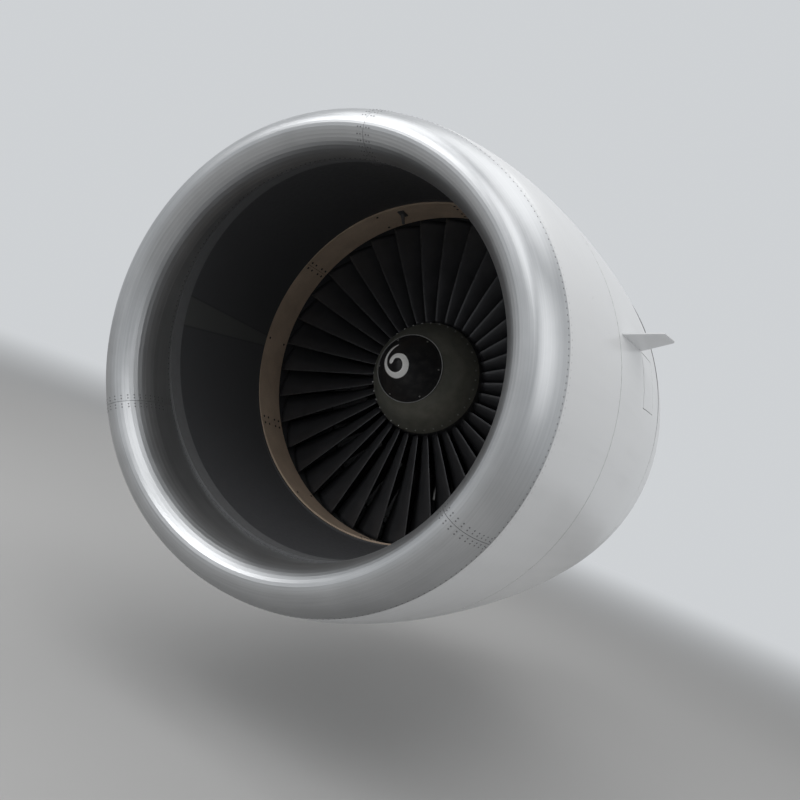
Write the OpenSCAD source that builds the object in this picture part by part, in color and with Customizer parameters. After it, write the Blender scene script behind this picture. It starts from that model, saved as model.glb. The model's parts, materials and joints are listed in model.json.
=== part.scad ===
// High-bypass turbofan engine in its nacelle.
// The engine axis is modelled along Y, with the fan tips' leading edges at y = 0 and the intake towards -Y.
// The whole model is then moved so that the origin lies at the forward mount's top face.
// Clock angles are seen from the front: 0 is up, 90 is towards +X, the engine's left side.

/* [Fan] */
// Radius over the blade tips
fan_r = 867.5; // [840:0.5:890]
// Number of fan blades
fan_blade_count = 36; // [30:1:40]
// Gap between the blade tips and the rub strip
tip_gap = 4; // [2:0.5:8]
// Blade chord at the root
root_chord = 150; // [130:1:165]
// Blade chord at the tip
tip_chord = 205; // [180:1:215]
// Turn of the chord from the engine axis at the root, in degrees
root_stagger = 18; // [10:1:30]
// Turn of the chord from the engine axis at the tip, in degrees
tip_stagger = 62; // [55:1:66]
// Blade thickness at the root
root_thick = 18; // [12:1:22]
// Blade thickness at the tip
tip_thick = 6; // [4:0.5:9]

/* [Spinner] */
// Station of the spinner's point
spinner_tip_y = -373; // [-400:1:-350]
// Station of the joint between front and rear cones
spinner_joint_y = -217; // [-235:1:-200]
// Radius at that joint
spinner_joint_r = 169; // [160:1:178]
// Radius of the rear cone at its base
spinner_base_r = 289; // [280:1:291]
// Wall of both cones
spinner_wall = 5; // [3:0.5:8]
// Number of bolts near the rear cone's base
spinner_bolt_count = 36; // [24:1:48]

/* [Intake] */
// Station of the lip's foremost circle, along the drooped axis
lip_y = -1240; // [-1280:1:-1200]
// Reach of the lip's foremost circle outside the blade tips
lip_out = 37.5; // [25:0.5:50]
// Station of the joint between lip and outer barrel
lip_outer_y = -1070; // [-1090:1:-1040]
// Station of the joint between lip and inner barrel
lip_inner_y = -1000; // [-1015:1:-985]
// Depth of the lip's inner edge inside the blade tips, at that joint
joint_in = 47.5; // [40:0.5:55]
// Station of the throat
throat_y = -1085; // [-1100:1:-1070]
// Depth of the throat inside the blade tips
throat_in = 54.5; // [50:0.5:60]
// Thickness of the lip skin
lip_skin = 6; // [4:0.5:9]
// Gap at each joint of the skin
skin_gap = 1.5; // [1:0.5:3]
// Wall of the inner barrel
barrel_wall = 28; // [20:1:35]
// Wall of the outer barrel
outer_wall = 12; // [8:1:16]
// Angle by which the intake and fan cowl droop, in degrees
droop = 4.2; // [3.5:0.1:4.5]

/* [Nacelle] */
// Depth of the nacelle outside the blade tips at its widest
cowl_depth = 247.5; // [240:0.5:260]
// Station of the greatest radius
max_y = 100; // [60:1:140]
// Fullness of the nose curve
nose_power = 2.375; // [2.2:0.025:2.5]
// Joint between intake and fan cowl doors, along the drooped axis
cowl_fwd_y = -480; // [-500:1:-470]
// Joint between fan cowl doors and reverser
cowl_aft_y = 640; // [630:1:650]
// Wall of the fan cowl doors
cowl_wall = 24; // [18:1:30]
// Gap round each door
door_gap = 4; // [3:0.5:6]
// Distance of the doors' upper edges from the middle plane
door_edge_x = 164; // [160:1:175]
// Half width of the fixed cap between the doors
cap_half = 142; // [130:1:144]
// Radius of the hinge pins
hinge_pin_r = 6; // [5:0.5:7]

/* [Fan case] */
// Station of the flange between intake and fan case
flange_y = -223; // [-230:1:-215]
// Depth of the beige panels' forward edge inside the blade tips
panel_in = 11.5; // [8:0.5:16]
// Number of panels ahead of the blades
panel_count = 6; // [5:1:8]
// Clock angle of one joint between two panels
panel_clock = -7; // [-15:1:15]
// Thickness of the fan case
case_wall = 14; // [10:1:18]
// Outlet guide vanes
vane_count = 36; // [30:1:44]
// Aft end of the fan frame
frame_aft_y = 640; // [635:1:645]

/* [Reverser] */
// Station of the fan nozzle's edge
fan_nozzle_y = 2050; // [2000:1:2080]
// Depth of the fan nozzle's outer edge inside the blade tips
nozzle_in = 17.5; // [10:0.5:27]
// Station of the doors' pivots
pivot_y = 1400; // [1380:1:1420]
// Depth of the pivots inside the blade tips, at the door's middle plane
pivot_in = 27.5; // [20:0.5:37]
// Reach of a door ahead of its pivot
door_reach = 660; // [600:1:670]
// Reach of a door behind its pivot
door_heel = 300; // [270:1:300]
// Width of a door
door_w = 880; // [820:1:890]
// Wall of the core cowl
core_wall = 14; // [10:1:18]
// Half width of the slot at the top, where the wing's support passes
slot_half = 135; // [125:1:145]
// Radius of the reverser's hinge pins
reverser_pin_r = 7; // [5:0.5:9]

/* [Core] */
// Radius of the low-pressure shaft
fan_shaft_r = 45; // [40:1:50]
// Inner radius of the high-pressure rotor's tube
core_bore_r = 62; // [58:1:66]
// Running clearance in the bearings
bearing_gap = 0.05; // [0.03:0.01:0.09]
// Aft flange of the turbine rear frame
turbine_aft_y = 2250; // [2230:1:2270]
// Length of the core nozzle
core_nozzle_len = 370; // [330:1:430]
// Length of the exhaust plug
plug_len = 700; // [650:1:750]

/* [Mounts] */
// Station of the forward mount
mount_y = 560; // [550:1:570]
// Height of the forward mount's top face over the blade tips' circle
mount_rise = 97.5; // [92:0.5:108]
// Spacing of the forward mount's holes along X
mount_hole_x = 160; // [150:1:170]
// Spacing of the forward mount's holes along Y
mount_hole_y = 90; // [80:1:95]
// Radius of the forward mount's holes
mount_hole_r = 10; // [8:0.5:11]

/* [Hidden] */

// Seat clearance between pieces that touch on the real engine
seat = 0.3;
smooth = 240;
big = 3000;
nose_steps = 22;
// The drooped axis crosses the engine axis at this station
cross_y = 1000;
// Fall of the outer radius behind its greatest value, at this distance
tail_fall = 113;
tail_len = 1400;
// The nacelle follows the fan's size
highlight_r = fan_r + lip_out;
lip_inner_r = fan_r - joint_in;
throat_r = fan_r - throat_in;
max_r = fan_r + cowl_depth;
panel_fwd_r = fan_r - panel_in;
fan_nozzle_r = fan_r - nozzle_in;
pivot_z = fan_r - pivot_in;
mount_z = fan_r + mount_rise;
bore_r = fan_r + tip_gap;
case_r = bore_r + 10;
panel_aft_r = fan_r + 1;
splitter_y = 300;
splitter_r = 475;
// Joints between the core's cases, counted from its aft end
burner_joint_y = turbine_aft_y - 1118;
hot_joint_y = turbine_aft_y - 836;
rear_joint_y = turbine_aft_y - 196;
core_nozzle_y = turbine_aft_y + core_nozzle_len;
plug_y = turbine_aft_y + plug_len;

// Centre of the lip's inner joint in the engine frame
joint_cy = cross_y + (lip_inner_y - cross_y) * cos(droop);
joint_cz = (lip_inner_y - cross_y) * sin(droop);
// The inner barrel's own axis runs from there to the fan case flange
barrel_tilt = atan2(-joint_cz, flange_y - joint_cy);
barrel_len = norm([flange_y - joint_cy, joint_cz]);
barrel_y = flange_y - barrel_len;

// Centre of the cowl's aft joint in the engine frame
aft_cy = cross_y + (cowl_aft_y - cross_y) * cos(droop);
aft_cz = (cowl_aft_y - cross_y) * sin(droop);
reverser_tilt = atan2(-aft_cz, fan_nozzle_y - aft_cy);

function skin_r(y) = y < max_y
    ? highlight_r + (max_r - highlight_r)
        * pow(1 - pow(1 - (y - lip_y) / (max_y - lip_y), nose_power), 1 / nose_power)
    : max_r - tail_fall * pow((y - max_y) / tail_len, 2);
// The same curve, moved inwards by w all round the nose
function skin_in(y, w) = highlight_r + (max_r - w - highlight_r)
    * pow(1 - pow(1 - (y - lip_y - w) / (max_y - lip_y - w), nose_power), 1 / nose_power);
// Stations that crowd towards the first value
function crowd(from, to, n) = [for (i = [0 : n]) from + (to - from) * pow(i / n, 2)];
function even(from, to, n) = [for (i = [0 : n]) from + (to - from) * i / n];
function flip(list) = [for (i = [len(list) - 1 : -1 : 0]) list[i]];

function nose_outer(w, end) = [for (y = crowd(lip_y + w, end, nose_steps)) [skin_in(y, w), y]];
function nose_inner(w) = [for (i = [1 : nose_steps / 2]) let (a = 180 * i / nose_steps)
    [highlight_r - (highlight_r - throat_r - w) * sin(a), throat_y - (throat_y - lip_y - w) * cos(a)]];
diffuser_slope = (lip_inner_r - throat_r) / (lip_inner_y - throat_y);
lip_over = 150;
lip_over_r = lip_inner_r + diffuser_slope * lip_over;

// Outer skin of the reverser, in its own slightly tilted frame
skin_slope = 2 * tail_fall * (cowl_aft_y - max_y) / pow(tail_len, 2);
boat_len = fan_nozzle_y - cowl_aft_y;
boat_fall = (skin_r(cowl_aft_y) - fan_nozzle_r - skin_slope * boat_len) / pow(boat_len, 2);
function boat_r(y) = skin_r(cowl_aft_y) - skin_slope * (y - cowl_aft_y) - boat_fall * pow(y - cowl_aft_y, 2);
// Outer wall of the fan duct
duct_fwd_r = bore_r;
nozzle_lip = 12;
function duct_r(y) = duct_fwd_r + 8 * sin(90 * min(1, (y - cowl_aft_y) / 500))
    - (duct_fwd_r + 8 - fan_nozzle_r + nozzle_lip) * pow(max(0, y - 1300) / (fan_nozzle_y - 1300), 2);
// Inner wall of the fan duct, which is the core cowl
core_fwd_r = splitter_r;
core_max_r = 590;
core_end_y = turbine_aft_y + 80;
core_end_r = 455;
core_mid_y = 1400;
function core_r(y) = y < core_mid_y
    ? core_fwd_r + (core_max_r - core_fwd_r) * sin(90 * max(0, y - frame_aft_y) / (core_mid_y - frame_aft_y))
    : core_max_r - (core_max_r - core_end_r) * pow((y - core_mid_y) / (core_end_y - core_mid_y), 2);

// Placing modules
module about_axis() { rotate([-90, 0, 0]) children(); }
module at_clock(c) { rotate([0, c, 0]) children(); }
module drooped() { translate([0, cross_y, 0]) rotate([droop, 0, 0]) translate([0, -cross_y, 0]) children(); }
module on_barrel() { translate([0, flange_y, 0]) rotate([barrel_tilt, 0, 0]) translate([0, -flange_y, 0]) children(); }
module on_reverser() {
    translate([0, aft_cy, aft_cz]) rotate([reverser_tilt, 0, 0]) translate([0, -cowl_aft_y, 0]) children();
}
// Moves the engine so that the forward mount's face is at the origin
module placed() { translate([0, -mount_y, -mount_z]) children(); }

// A body of revolution from [radius, station] points, whole or from one clock angle through a span
module turned(points) { about_axis() rotate_extrude($fn = smooth) polygon(points); }
module turned_sector(points, from, span) {
    about_axis() rotate_extrude(angle = span, start = from - 90, $fn = smooth) polygon(points);
}
module tube(r_in, r_out, y0, y1) { turned([[r_in, y0], [r_out, y0], [r_out, y1], [r_in, y1]]); }
module rod(r, y0, y1) { translate([0, y0, 0]) about_axis() cylinder(r = r, h = y1 - y0, $fn = 48); }
// A round rod standing out along the clock angle c
module spoke(c, y, r, from, to, sides = 48) {
    at_clock(c) translate([0, y, from]) cylinder(r = r, h = to - from, $fn = sides);
}
// A shell between two radius rules, with straight stretches between stations
module shell(stations, outer, inner) {
    turned(concat([for (i = [0 : len(stations) - 1]) [outer[i], stations[i]]],
        flip([for (i = [0 : len(stations) - 1]) [inner[i], stations[i]]])));
}

// INTAKE

lip_profile = concat(
    flip(nose_outer(0, lip_outer_y)), nose_inner(0), [[lip_over_r, lip_inner_y + lip_over]],
    [[lip_over_r + lip_skin, lip_inner_y + lip_over]], flip(nose_inner(lip_skin)),
    nose_outer(lip_skin, lip_outer_y));
joint_deg = skin_gap / highlight_r * 180 / PI;
// The barrel's place, cut out of the lip's aft edge
trim_r = fan_r + 12.5;

// Clock angles of the butt joints: near the top, low on the left and on the right
lip_joints = [-3.5, 113, 237.5];
module lip_segment(i) {
    start = lip_joints[i];
    span = (i == 2 ? lip_joints[0] + 360 : lip_joints[i + 1]) - start;
    color("silver") difference() {
        drooped() turned_sector(lip_profile, start + joint_deg / 2, span - joint_deg);
        on_barrel() translate([0, barrel_y, 0]) about_axis() cylinder(r = trim_r, h = 500, $fn = smooth);
    }
}

outer_stations = even(lip_outer_y + skin_gap, cowl_fwd_y - 1, 14);
// A tongue under the lip's edge carries the lip's rivets
tongue_t = 4;
tongue_len = 15;
tongue_y = [lip_outer_y - tongue_len, lip_outer_y + 10];
module intake_outer_barrel() {
    color("white") drooped() {
        shell(outer_stations, [for (y = outer_stations) skin_r(y)], [for (y = outer_stations) skin_r(y) - outer_wall]);
        shell(tongue_y, [for (y = tongue_y) skin_in(y, lip_skin) - seat],
            [for (y = tongue_y) skin_in(y, lip_skin) - seat - tongue_t]);
    }
}

// The barrel widens from the lip to the fan case
function barrel_r(y) = lip_inner_r + (panel_fwd_r - lip_inner_r) * sin(90 * (y - barrel_y) / barrel_len);
barrel_stations = even(barrel_y + skin_gap, flange_y + 200, 16);
barrel_flange = 26;
module intake_inner_barrel() {
    color("dimgray") difference() {
        union() {
            on_barrel() shell(barrel_stations, [for (y = barrel_stations) barrel_r(min(y, flange_y)) + barrel_wall],
                [for (y = barrel_stations) barrel_r(min(y, flange_y))]);
            translate([0, flange_y - 16, 0]) tube(panel_fwd_r + 8, case_r + case_wall + barrel_flange, 0, 16);
        }
        translate([0, flange_y, 0]) about_axis() cylinder(r = 1400, h = 500, $fn = smooth);
    }
}

module forward_bulkhead() {
    y = lip_outer_y - tongue_len - 16;
    color("slategray") drooped()
        tube(throat_r + lip_skin + seat + 2, skin_in(y - 5, lip_skin) - seat, y - 5, y);
}

bulkhead_y = cowl_fwd_y - 24;
bulkhead_t = 8;
module aft_bulkhead() {
    color("slategray") difference() {
        drooped() tube(throat_r - 113, skin_r(bulkhead_y) - outer_wall - seat - 0.2, bulkhead_y, bulkhead_y + bulkhead_t);
        on_barrel() turned(concat([for (y = barrel_stations) [barrel_r(min(y, flange_y)) + barrel_wall + seat, y]],
            [[0, barrel_stations[16]], [0, barrel_stations[0]]]));
    }
}

flange_bolt_count = 24;
flange_bolt_r = case_r + case_wall + 14;
module intake_bolts() {
    color("gainsboro") for (i = [0 : flange_bolt_count - 1])
        at_clock(i * 360 / flange_bolt_count) translate([0, 0, flange_bolt_r]) {
            rod(8, flange_y - 16 - 8, flange_y - 16 - seat);
        }
}

// FAN CASE AND FRAME

case_flange_r = case_r + case_wall + barrel_flange;
vane_fwd_y = 330;
vane_aft_y = 430;
frame_fwd_y = 460;
module fan_case() {
    color("lightslategray") turned([
        [case_r, flange_y + seat], [case_flange_r, flange_y + seat], [case_flange_r, flange_y + 16],
        [case_r + case_wall, flange_y + 16], [case_r + case_wall, -30], [case_r + case_wall + 8, -20],
        [case_r + case_wall + 8, 190], [case_r + case_wall, 200], [case_r + case_wall, frame_fwd_y - 16],
        [case_flange_r, frame_fwd_y - 16], [case_flange_r, frame_fwd_y - seat],
        [bore_r, frame_fwd_y - seat], [bore_r, -1], [case_r, -1]]);
}

panel_gap_deg = 2 / fan_r * 180 / PI;
panel_step = 360 / panel_count;
module shroud_panels() {
    color("tan") for (i = [0 : panel_count - 1])
        turned_sector([[panel_fwd_r, flange_y + 1], [case_r - seat, flange_y + 1], [case_r - seat, -2], [panel_aft_r, -2]],
            panel_clock + panel_step * i + panel_gap_deg / 2, panel_step - panel_gap_deg);
}

screw_r = 6;
screw_head = 2;
screw_y = [flange_y + 30, flange_y + 75, -80, -35];
function panel_r(y) = panel_fwd_r + (panel_aft_r - panel_fwd_r) * (y - flange_y) / -flange_y;
// Four screws each side of every panel joint, and a pair at mid panel
module panel_screws() {
    color("dimgray") for (i = [0 : panel_count - 1]) {
        for (side = [-1.2, 1.2], y = screw_y)
            spoke(panel_clock + panel_step * i + side, y, screw_r, panel_r(y) - screw_head - 0.7, panel_r(y) - 0.7, 24);
        for (y = [screw_y[0], screw_y[3]])
            spoke(panel_clock + panel_step * (i + 0.5), y, screw_r, panel_r(y) - screw_head - 0.7, panel_r(y) - 0.7, 24);
    }
}

probe_clock = -28.5;
probe_y = -150;
module temperature_probe() {
    color("dimgray") at_clock(probe_clock) {
        translate([-16, probe_y - 34, panel_r(probe_y - 34) - 6]) cube([32, 68, 5.5]);
        translate([0, probe_y, panel_r(probe_y) - 62]) cylinder(r1 = 7, r2 = 11, h = 57, $fn = 32);
    }
}

// A thin cambered section in the plane of the axis and the blade's width
function arc_blade(chord, thick, camber, n = 6) = concat(
    [for (i = [0 : n]) let (t = i / n) [camber * 4 * t * (1 - t) + thick * 2 * sqrt(t) * (1 - t), chord * t]],
    [for (i = [n - 1 : -1 : 1]) let (t = i / n) [camber * 4 * t * (1 - t) - thick * 2 * sqrt(t) * (1 - t), chord * t]]);

module vane_row(count, y0, chord, thick, camber, turn, r0, r1) {
    for (i = [0 : count - 1]) intersection() {
        at_clock(i * 360 / count) translate([0, y0, r0 - 20])
            linear_extrude(height = r1 - r0 + 40) rotate(turn) polygon(arc_blade(chord, thick, camber));
        tube(r0, r1, y0 - 60, y0 + chord + 60);
    }
}
module outlet_guide_vanes() {
    color("gray") vane_row(vane_count, vane_fwd_y, vane_aft_y - vane_fwd_y, 7, 10, 12,
        splitter_r + seat, bore_r - seat);
}

strut_count = 12;
frame_hub_y = frame_fwd_y + 20;
passage_fwd = [345, 463];
passage_aft = [188, 278];
bearing_seat_r = 150;
// A strut's blunt section starts a little aft of the hub's forward face
module strut(from, to) {
    translate([0, frame_hub_y, from]) linear_extrude(height = to - from)
        polygon([[3, 5], [11, 34], [11, 128], [4, 152], [-4, 152], [-11, 128], [-11, 34], [-3, 5]]);
}
module fan_frame() {
    color("darkgray") difference() {
        union() {
            turned([[bore_r, frame_fwd_y], [case_flange_r, frame_fwd_y], [case_flange_r, frame_fwd_y + 16],
                [case_r + case_wall, frame_fwd_y + 16], [case_r + case_wall, frame_aft_y - 16],
                [case_flange_r, frame_aft_y - 16], [case_flange_r, frame_aft_y], [bore_r, frame_aft_y]]);
            // Outer wall of the core passage, and the hub inside it
            turned([[passage_fwd[1], frame_hub_y], [splitter_r, frame_hub_y], [splitter_r, frame_aft_y],
                [passage_aft[1], frame_aft_y], [passage_aft[1], frame_aft_y - 8]]);
            turned([[100, frame_hub_y], [passage_fwd[0], frame_hub_y], [passage_aft[0], frame_aft_y],
                [bearing_seat_r + seat, frame_aft_y], [bearing_seat_r + seat, frame_aft_y - 30], [passage_aft[0] - 14, frame_aft_y - 30],
                [passage_fwd[0] - 30, frame_hub_y + 20], [100, frame_hub_y + 28]]);
            for (i = [0 : strut_count - 1]) at_clock(i * 360 / strut_count) {
                strut(splitter_r - 8, bore_r + 4);
                intersection() {
                    strut(180, splitter_r - 8);
                    at_clock(-i * 360 / strut_count) turned([[passage_fwd[0] - 5, frame_hub_y], [splitter_r - 5, frame_hub_y],
                        [passage_aft[1] + 5, frame_aft_y], [passage_aft[0] - 5, frame_aft_y]]);
                }
            }
        }
        spoke(180, drive_y, drive_r + 0.1, 0, drive_end_r);
    }
}

splitter_wall = 10;
module splitter() {
    color("gray") turned([[splitter_r - 6, splitter_y], [splitter_r - 1, splitter_y + 8], [splitter_r, splitter_y + 24],
        [splitter_r, frame_fwd_y + 20 - seat], [splitter_r - splitter_wall, frame_fwd_y + 20 - seat],
        [splitter_r - splitter_wall, splitter_y + 24], [splitter_r - splitter_wall + 3, splitter_y + 6]]);
}
booster_hub_r = 345;
module inlet_guide_vanes() {
    color("gray") {
        vane_row(48, splitter_y + 34, 44, 3, 6, -10, booster_hub_r + 8, splitter_r - splitter_wall - seat);
        tube(booster_hub_r + 4, booster_hub_r + 9, splitter_y + 30, splitter_y + 82);
    }
}

// FAN ROTOR

// Rounded cone, from its rim to the point
function cone_r(y) = spinner_joint_r * pow((y - spinner_tip_y) / (spinner_joint_y - spinner_tip_y), 0.8);
cone_stations = [for (i = [0 : 14]) spinner_tip_y + (spinner_joint_y - spinner_tip_y) * pow(i / 14, 1.6)];
ring_half = 3;
module spinner_front_cone() {
    color("black") turned(concat([for (y = cone_stations) [cone_r(y), y]],
        [[spinner_joint_r, spinner_joint_y + ring_half + 14], [spinner_joint_r - 12, spinner_joint_y + ring_half + 14],
         [spinner_joint_r - 12, spinner_joint_y]],
        flip([for (i = [3 : 14]) [cone_r(cone_stations[i]) - spinner_wall * 1.6, cone_stations[i] + 4]]),
        [[0, cone_stations[3] + 4]]));
}
rear_bulge = 14;
function rear_r(t) = spinner_joint_r + (spinner_base_r - spinner_joint_r) * t + rear_bulge * sin(180 * t);
rear_skin = 2;
rear_y0 = spinner_joint_y + ring_half;
rear_y1 = -4;
module spinner_ring() {
    color("lightgray") tube(spinner_joint_r + seat, spinner_joint_r + 4, spinner_joint_y - ring_half, rear_y0 - seat);
}
module spinner_rear_cone() {
    ts = even(0, 1, 10);
    color("darkslategray") turned(concat([for (t = ts) [rear_r(t) + rear_skin, rear_y0 + (rear_y1 - rear_y0) * t]],
        flip([for (t = ts) [rear_r(t) + rear_skin - (t == 0 ? 1.2 : spinner_wall), rear_y0 + (rear_y1 - rear_y0) * t]])));
}
bolt_t = 0.86;
cone_slope = atan2(spinner_base_r - spinner_joint_r, rear_y1 - rear_y0);
rim_clock = 15;
module spinner_bolts() {
    color("silver") {
        for (i = [0 : spinner_bolt_count - 1]) at_clock((i + 0.5) * 360 / spinner_bolt_count)
            translate([0, rear_y0 + (rear_y1 - rear_y0) * bolt_t, rear_r(bolt_t) + rear_skin + seat])
                rotate([cone_slope - 8, 0, 0]) cylinder(r = 4.5, h = 4, $fn = 6);
        for (i = [0 : 5]) at_clock(i * 60 + rim_clock)
            translate([0, spinner_joint_y - 14, cone_r(spinner_joint_y - 14) + seat])
                rotate([41, 0, 0]) cylinder(r = 4, h = 3, $fn = 24);
    }
}

platform_r1 = 330;
blade_aft_y = 190;
module fan_disk() {
    color("dimgray") turned([[fan_shaft_r + seat, 20], [120, 20], [140, 40], [200, 60], [250, 10], [272, 4],
        [272, blade_aft_y], [250, blade_aft_y - 6], [200, 140], [140, 160], [120, 185], [fan_shaft_r + seat, 185]]);
}
platform_fwd_y = rear_y1 + seat;
platform_fwd_r = spinner_base_r + rear_skin;
function platform_r(y) = platform_fwd_r
    + (platform_r1 - platform_fwd_r) * (y - platform_fwd_y) / (blade_aft_y - platform_fwd_y);
module blade_platforms() {
    color("dimgray") turned([[272.3, platform_fwd_y], [platform_fwd_r, platform_fwd_y], [platform_r1, blade_aft_y],
        [272.3, blade_aft_y]]);
}

// One fan blade is lofted through sections that turn with the radius
span_steps = 7;
half_points = 6;
function section(chord, thick, camber) = concat(
    [for (i = [0 : half_points]) let (t = pow(i / half_points, 1.3))
        [camber * 4 * t * (1 - t) - thick * 1.3 * sqrt(t) * (1 - t), chord * (t - 0.5)]],
    [for (i = [half_points - 1 : -1 : 1]) let (t = pow(i / half_points, 1.3))
        [camber * 4 * t * (1 - t) + thick * 1.3 * sqrt(t) * (1 - t), chord * (t - 0.5)]]);
blade_mid_y = 86;
root_camber = 22;
tip_camber = 4;
function blade_section(k) = let (
        s = k / span_steps,
        wrap_r = platform_fwd_r + (fan_r - platform_fwd_r) * s,
        chord = root_chord + (tip_chord - root_chord) * s,
        stagger = root_stagger + (tip_stagger - root_stagger) * pow(s, 0.8),
        thick = root_thick + (tip_thick - root_thick) * s,
        camber = root_camber + (tip_camber - root_camber) * s,
        // The chord's middle leans with the radius, and the tip's leading edge meets y = 0
        mid = blade_mid_y + (tip_chord * cos(tip_stagger) / 2 - blade_mid_y) * s)
    [for (p = section(chord, thick, camber))
        let (x = p[0] * cos(stagger) + p[1] * sin(stagger), y = mid - p[0] * sin(stagger) + p[1] * cos(stagger),
             // Each section is wrapped on its own cylinder, and the root follows the platforms' cone
             a = x / wrap_r * 180 / PI, r = (platform_r(y) + seat) * (1 - s) + fan_r * s)
        [r * sin(a), y, r * cos(a)]];
blade_rows = [for (k = [0 : span_steps]) blade_section(k)];
ring_points = 2 * half_points;
// Index of the point opposite to point j, across the blade's thickness
function across(j) = j == 0 || j == half_points ? j : ring_points - j;
function end_faces(base, up) = [for (j = [0 : half_points - 1]) each let (
        a = base + j, b = base + j + 1, c = base + across(j + 1), d = base + across(j))
    concat(j < half_points - 1 ? [up ? [d, b, c] : [d, c, b]] : [], j > 0 ? [up ? [d, a, b] : [d, b, a]] : [])];
module fan_blade() {
    polyhedron(
        points = [for (row = blade_rows) each row],
        // Both sides of the blade are split along the same diagonals, so that the thin edges never cross
        faces = concat(
            [for (k = [0 : span_steps - 1], i = [0 : ring_points - 1])
                each let (j = (i + 1) % ring_points, a = k * ring_points, b = (k + 1) * ring_points)
                i < half_points ? [[a + i, a + j, b + j], [a + i, b + j, b + i]]
                    : [[a + i, a + j, b + i], [a + j, b + j, b + i]]],
            end_faces(0, false), end_faces(span_steps * ring_points, true)),
        convexity = 4);
}
module fan_blades() {
    color("darkslategray") for (i = [0 : fan_blade_count - 1]) at_clock(i * 360 / fan_blade_count) fan_blade();
}

// Drum with its first row of blades
module booster_rotor() {
    color("gray") {
        turned([[250, blade_aft_y + seat], [platform_r1, blade_aft_y + seat], [booster_hub_r - 2, 280], [booster_hub_r, 388],
            [booster_hub_r, 460], [booster_hub_r - 20, 460], [booster_hub_r - 20, 300], [platform_r1 - 20, 220], [250, 210]]);
        vane_row(36, 400, 30, 4, 4, 35, booster_hub_r - 4, splitter_r - splitter_wall - 5);
    }
}

shaft_fwd_y = -20;
shaft_aft_y = rear_joint_y + 106;
module fan_shaft() {
    color("silver") {
        rod(fan_shaft_r, shaft_fwd_y, shaft_aft_y);
        // Shoulder behind the disk
        tube(fan_shaft_r - 1, 70, 185 + seat, 230);
    }
}

// Inner wall of the low-pressure turbine case
turbine_in = [[326, rear_joint_y - 484], [350, rear_joint_y - 454], [386, rear_joint_y - 294], [424, rear_joint_y - 94],
    [434, rear_joint_y]];
function turbine_in_r(y) = lookup(y, [for (p = turbine_in) [p[1], p[0]]]);
wheel_fwd_y = rear_joint_y - 414;
wheel_step = 105;
wheel_t = 34;
// Four turbine discs on a drum
module fan_turbine_rotor() {
    color("dimgray") turned(concat([[fan_shaft_r + seat, wheel_fwd_y + 220], [150, wheel_fwd_y + 220], [210, wheel_fwd_y]],
        [for (i = [0 : 3]) let (y = wheel_fwd_y + i * wheel_step, r = turbine_in_r(y) - tip_gap)
            each [[235, y], [r, y], [r, y + wheel_t], [240, y + wheel_t]]],
        [[215, wheel_fwd_y + 3 * wheel_step + wheel_t], [150, wheel_fwd_y + 260], [fan_shaft_r + seat, wheel_fwd_y + 260]]));
}

// HIGH-PRESSURE ROTOR AND CORE CASES

compressor_fwd_y = 700;
compressor_aft_y = burner_joint_y - 32;
core_rotor_aft_y = hot_joint_y + 146;
gear_y = 590;
disc_count = 9;
disc_step = (compressor_aft_y - 4 - compressor_fwd_y) / disc_count;
disc_t = 20;
compressor_in = [[278, frame_aft_y], [276, compressor_fwd_y], [272, compressor_fwd_y + 20], [228, compressor_aft_y]];
function compressor_in_r(y) = lookup(y, [for (p = compressor_in) [p[1], p[0]]]);
turbine_fwd_r = 322;
journal_r = core_bore_r + 18;
// Nine compressor discs, the drum over the combustor's inner wall, and one turbine disc
module core_rotor() {
    color("silver") turned(concat(
        [[core_bore_r, gear_y - 20], [journal_r, gear_y - 20], [journal_r, compressor_fwd_y - 20], [150, compressor_fwd_y]],
        [for (i = [0 : disc_count - 1]) let (y = compressor_fwd_y + i * disc_step, r = compressor_in_r(y + disc_t) - tip_gap)
            each [[190 - 4 * i, y], [r, y], [r, y + disc_t], [190 - 4 * i, y + disc_t]]],
        [[130, burner_joint_y - 12], [110, burner_joint_y + 48], [110, hot_joint_y + 6], [220, hot_joint_y + 26],
         [225, hot_joint_y + 56], [turbine_fwd_r - tip_gap, hot_joint_y + 56], [turbine_fwd_r - tip_gap, hot_joint_y + 96],
         [225, hot_joint_y + 96], [200, core_rotor_aft_y], [core_bore_r + 14, core_rotor_aft_y + 20],
         [core_bore_r, core_rotor_aft_y + 20]]));
}
module bearing(y0, y1, bore, outer) { color("gainsboro") tube(bore + bearing_gap, outer, y0, y1); }
module compressor_case() {
    rib_1_y = burner_joint_y - 332;
    rib_2_y = burner_joint_y - 132;
    rib_t = 12;
    color("gray") turned([[compressor_in_r(frame_aft_y + seat), frame_aft_y + seat], [330, frame_aft_y + seat],
        [330, frame_aft_y + 14], [300, frame_aft_y + 14], [290, rib_1_y], [310, rib_1_y], [310, rib_1_y + rib_t],
        [290, rib_1_y + rib_t], [270, rib_2_y], [290, rib_2_y], [290, rib_2_y + rib_t], [268, rib_2_y + rib_t],
        [262, burner_joint_y - 12], [310, burner_joint_y - 12], [310, burner_joint_y], [228, burner_joint_y],
        [228, compressor_aft_y], [272, compressor_fwd_y + 20], [276, compressor_fwd_y]]);
}
nozzle_count = 20;
module combustor_case() {
    color("gray") {
        turned([[250, burner_joint_y + seat], [310, burner_joint_y + seat], [310, burner_joint_y + 12],
            [345, burner_joint_y + 58], [345, hot_joint_y - 14], [352, hot_joint_y - 14], [352, hot_joint_y],
            [330, hot_joint_y], [330, burner_joint_y + 68], [296, burner_joint_y + 18], [250, burner_joint_y + 12]]);
        // Fuel nozzles, and the ring that feeds them
        for (i = [0 : nozzle_count - 1]) spoke(i * 360 / nozzle_count, burner_joint_y + 78, 12, 338, 378, 24);
        tube(374, 390, burner_joint_y + 70, burner_joint_y + 86);
    }
}
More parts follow.
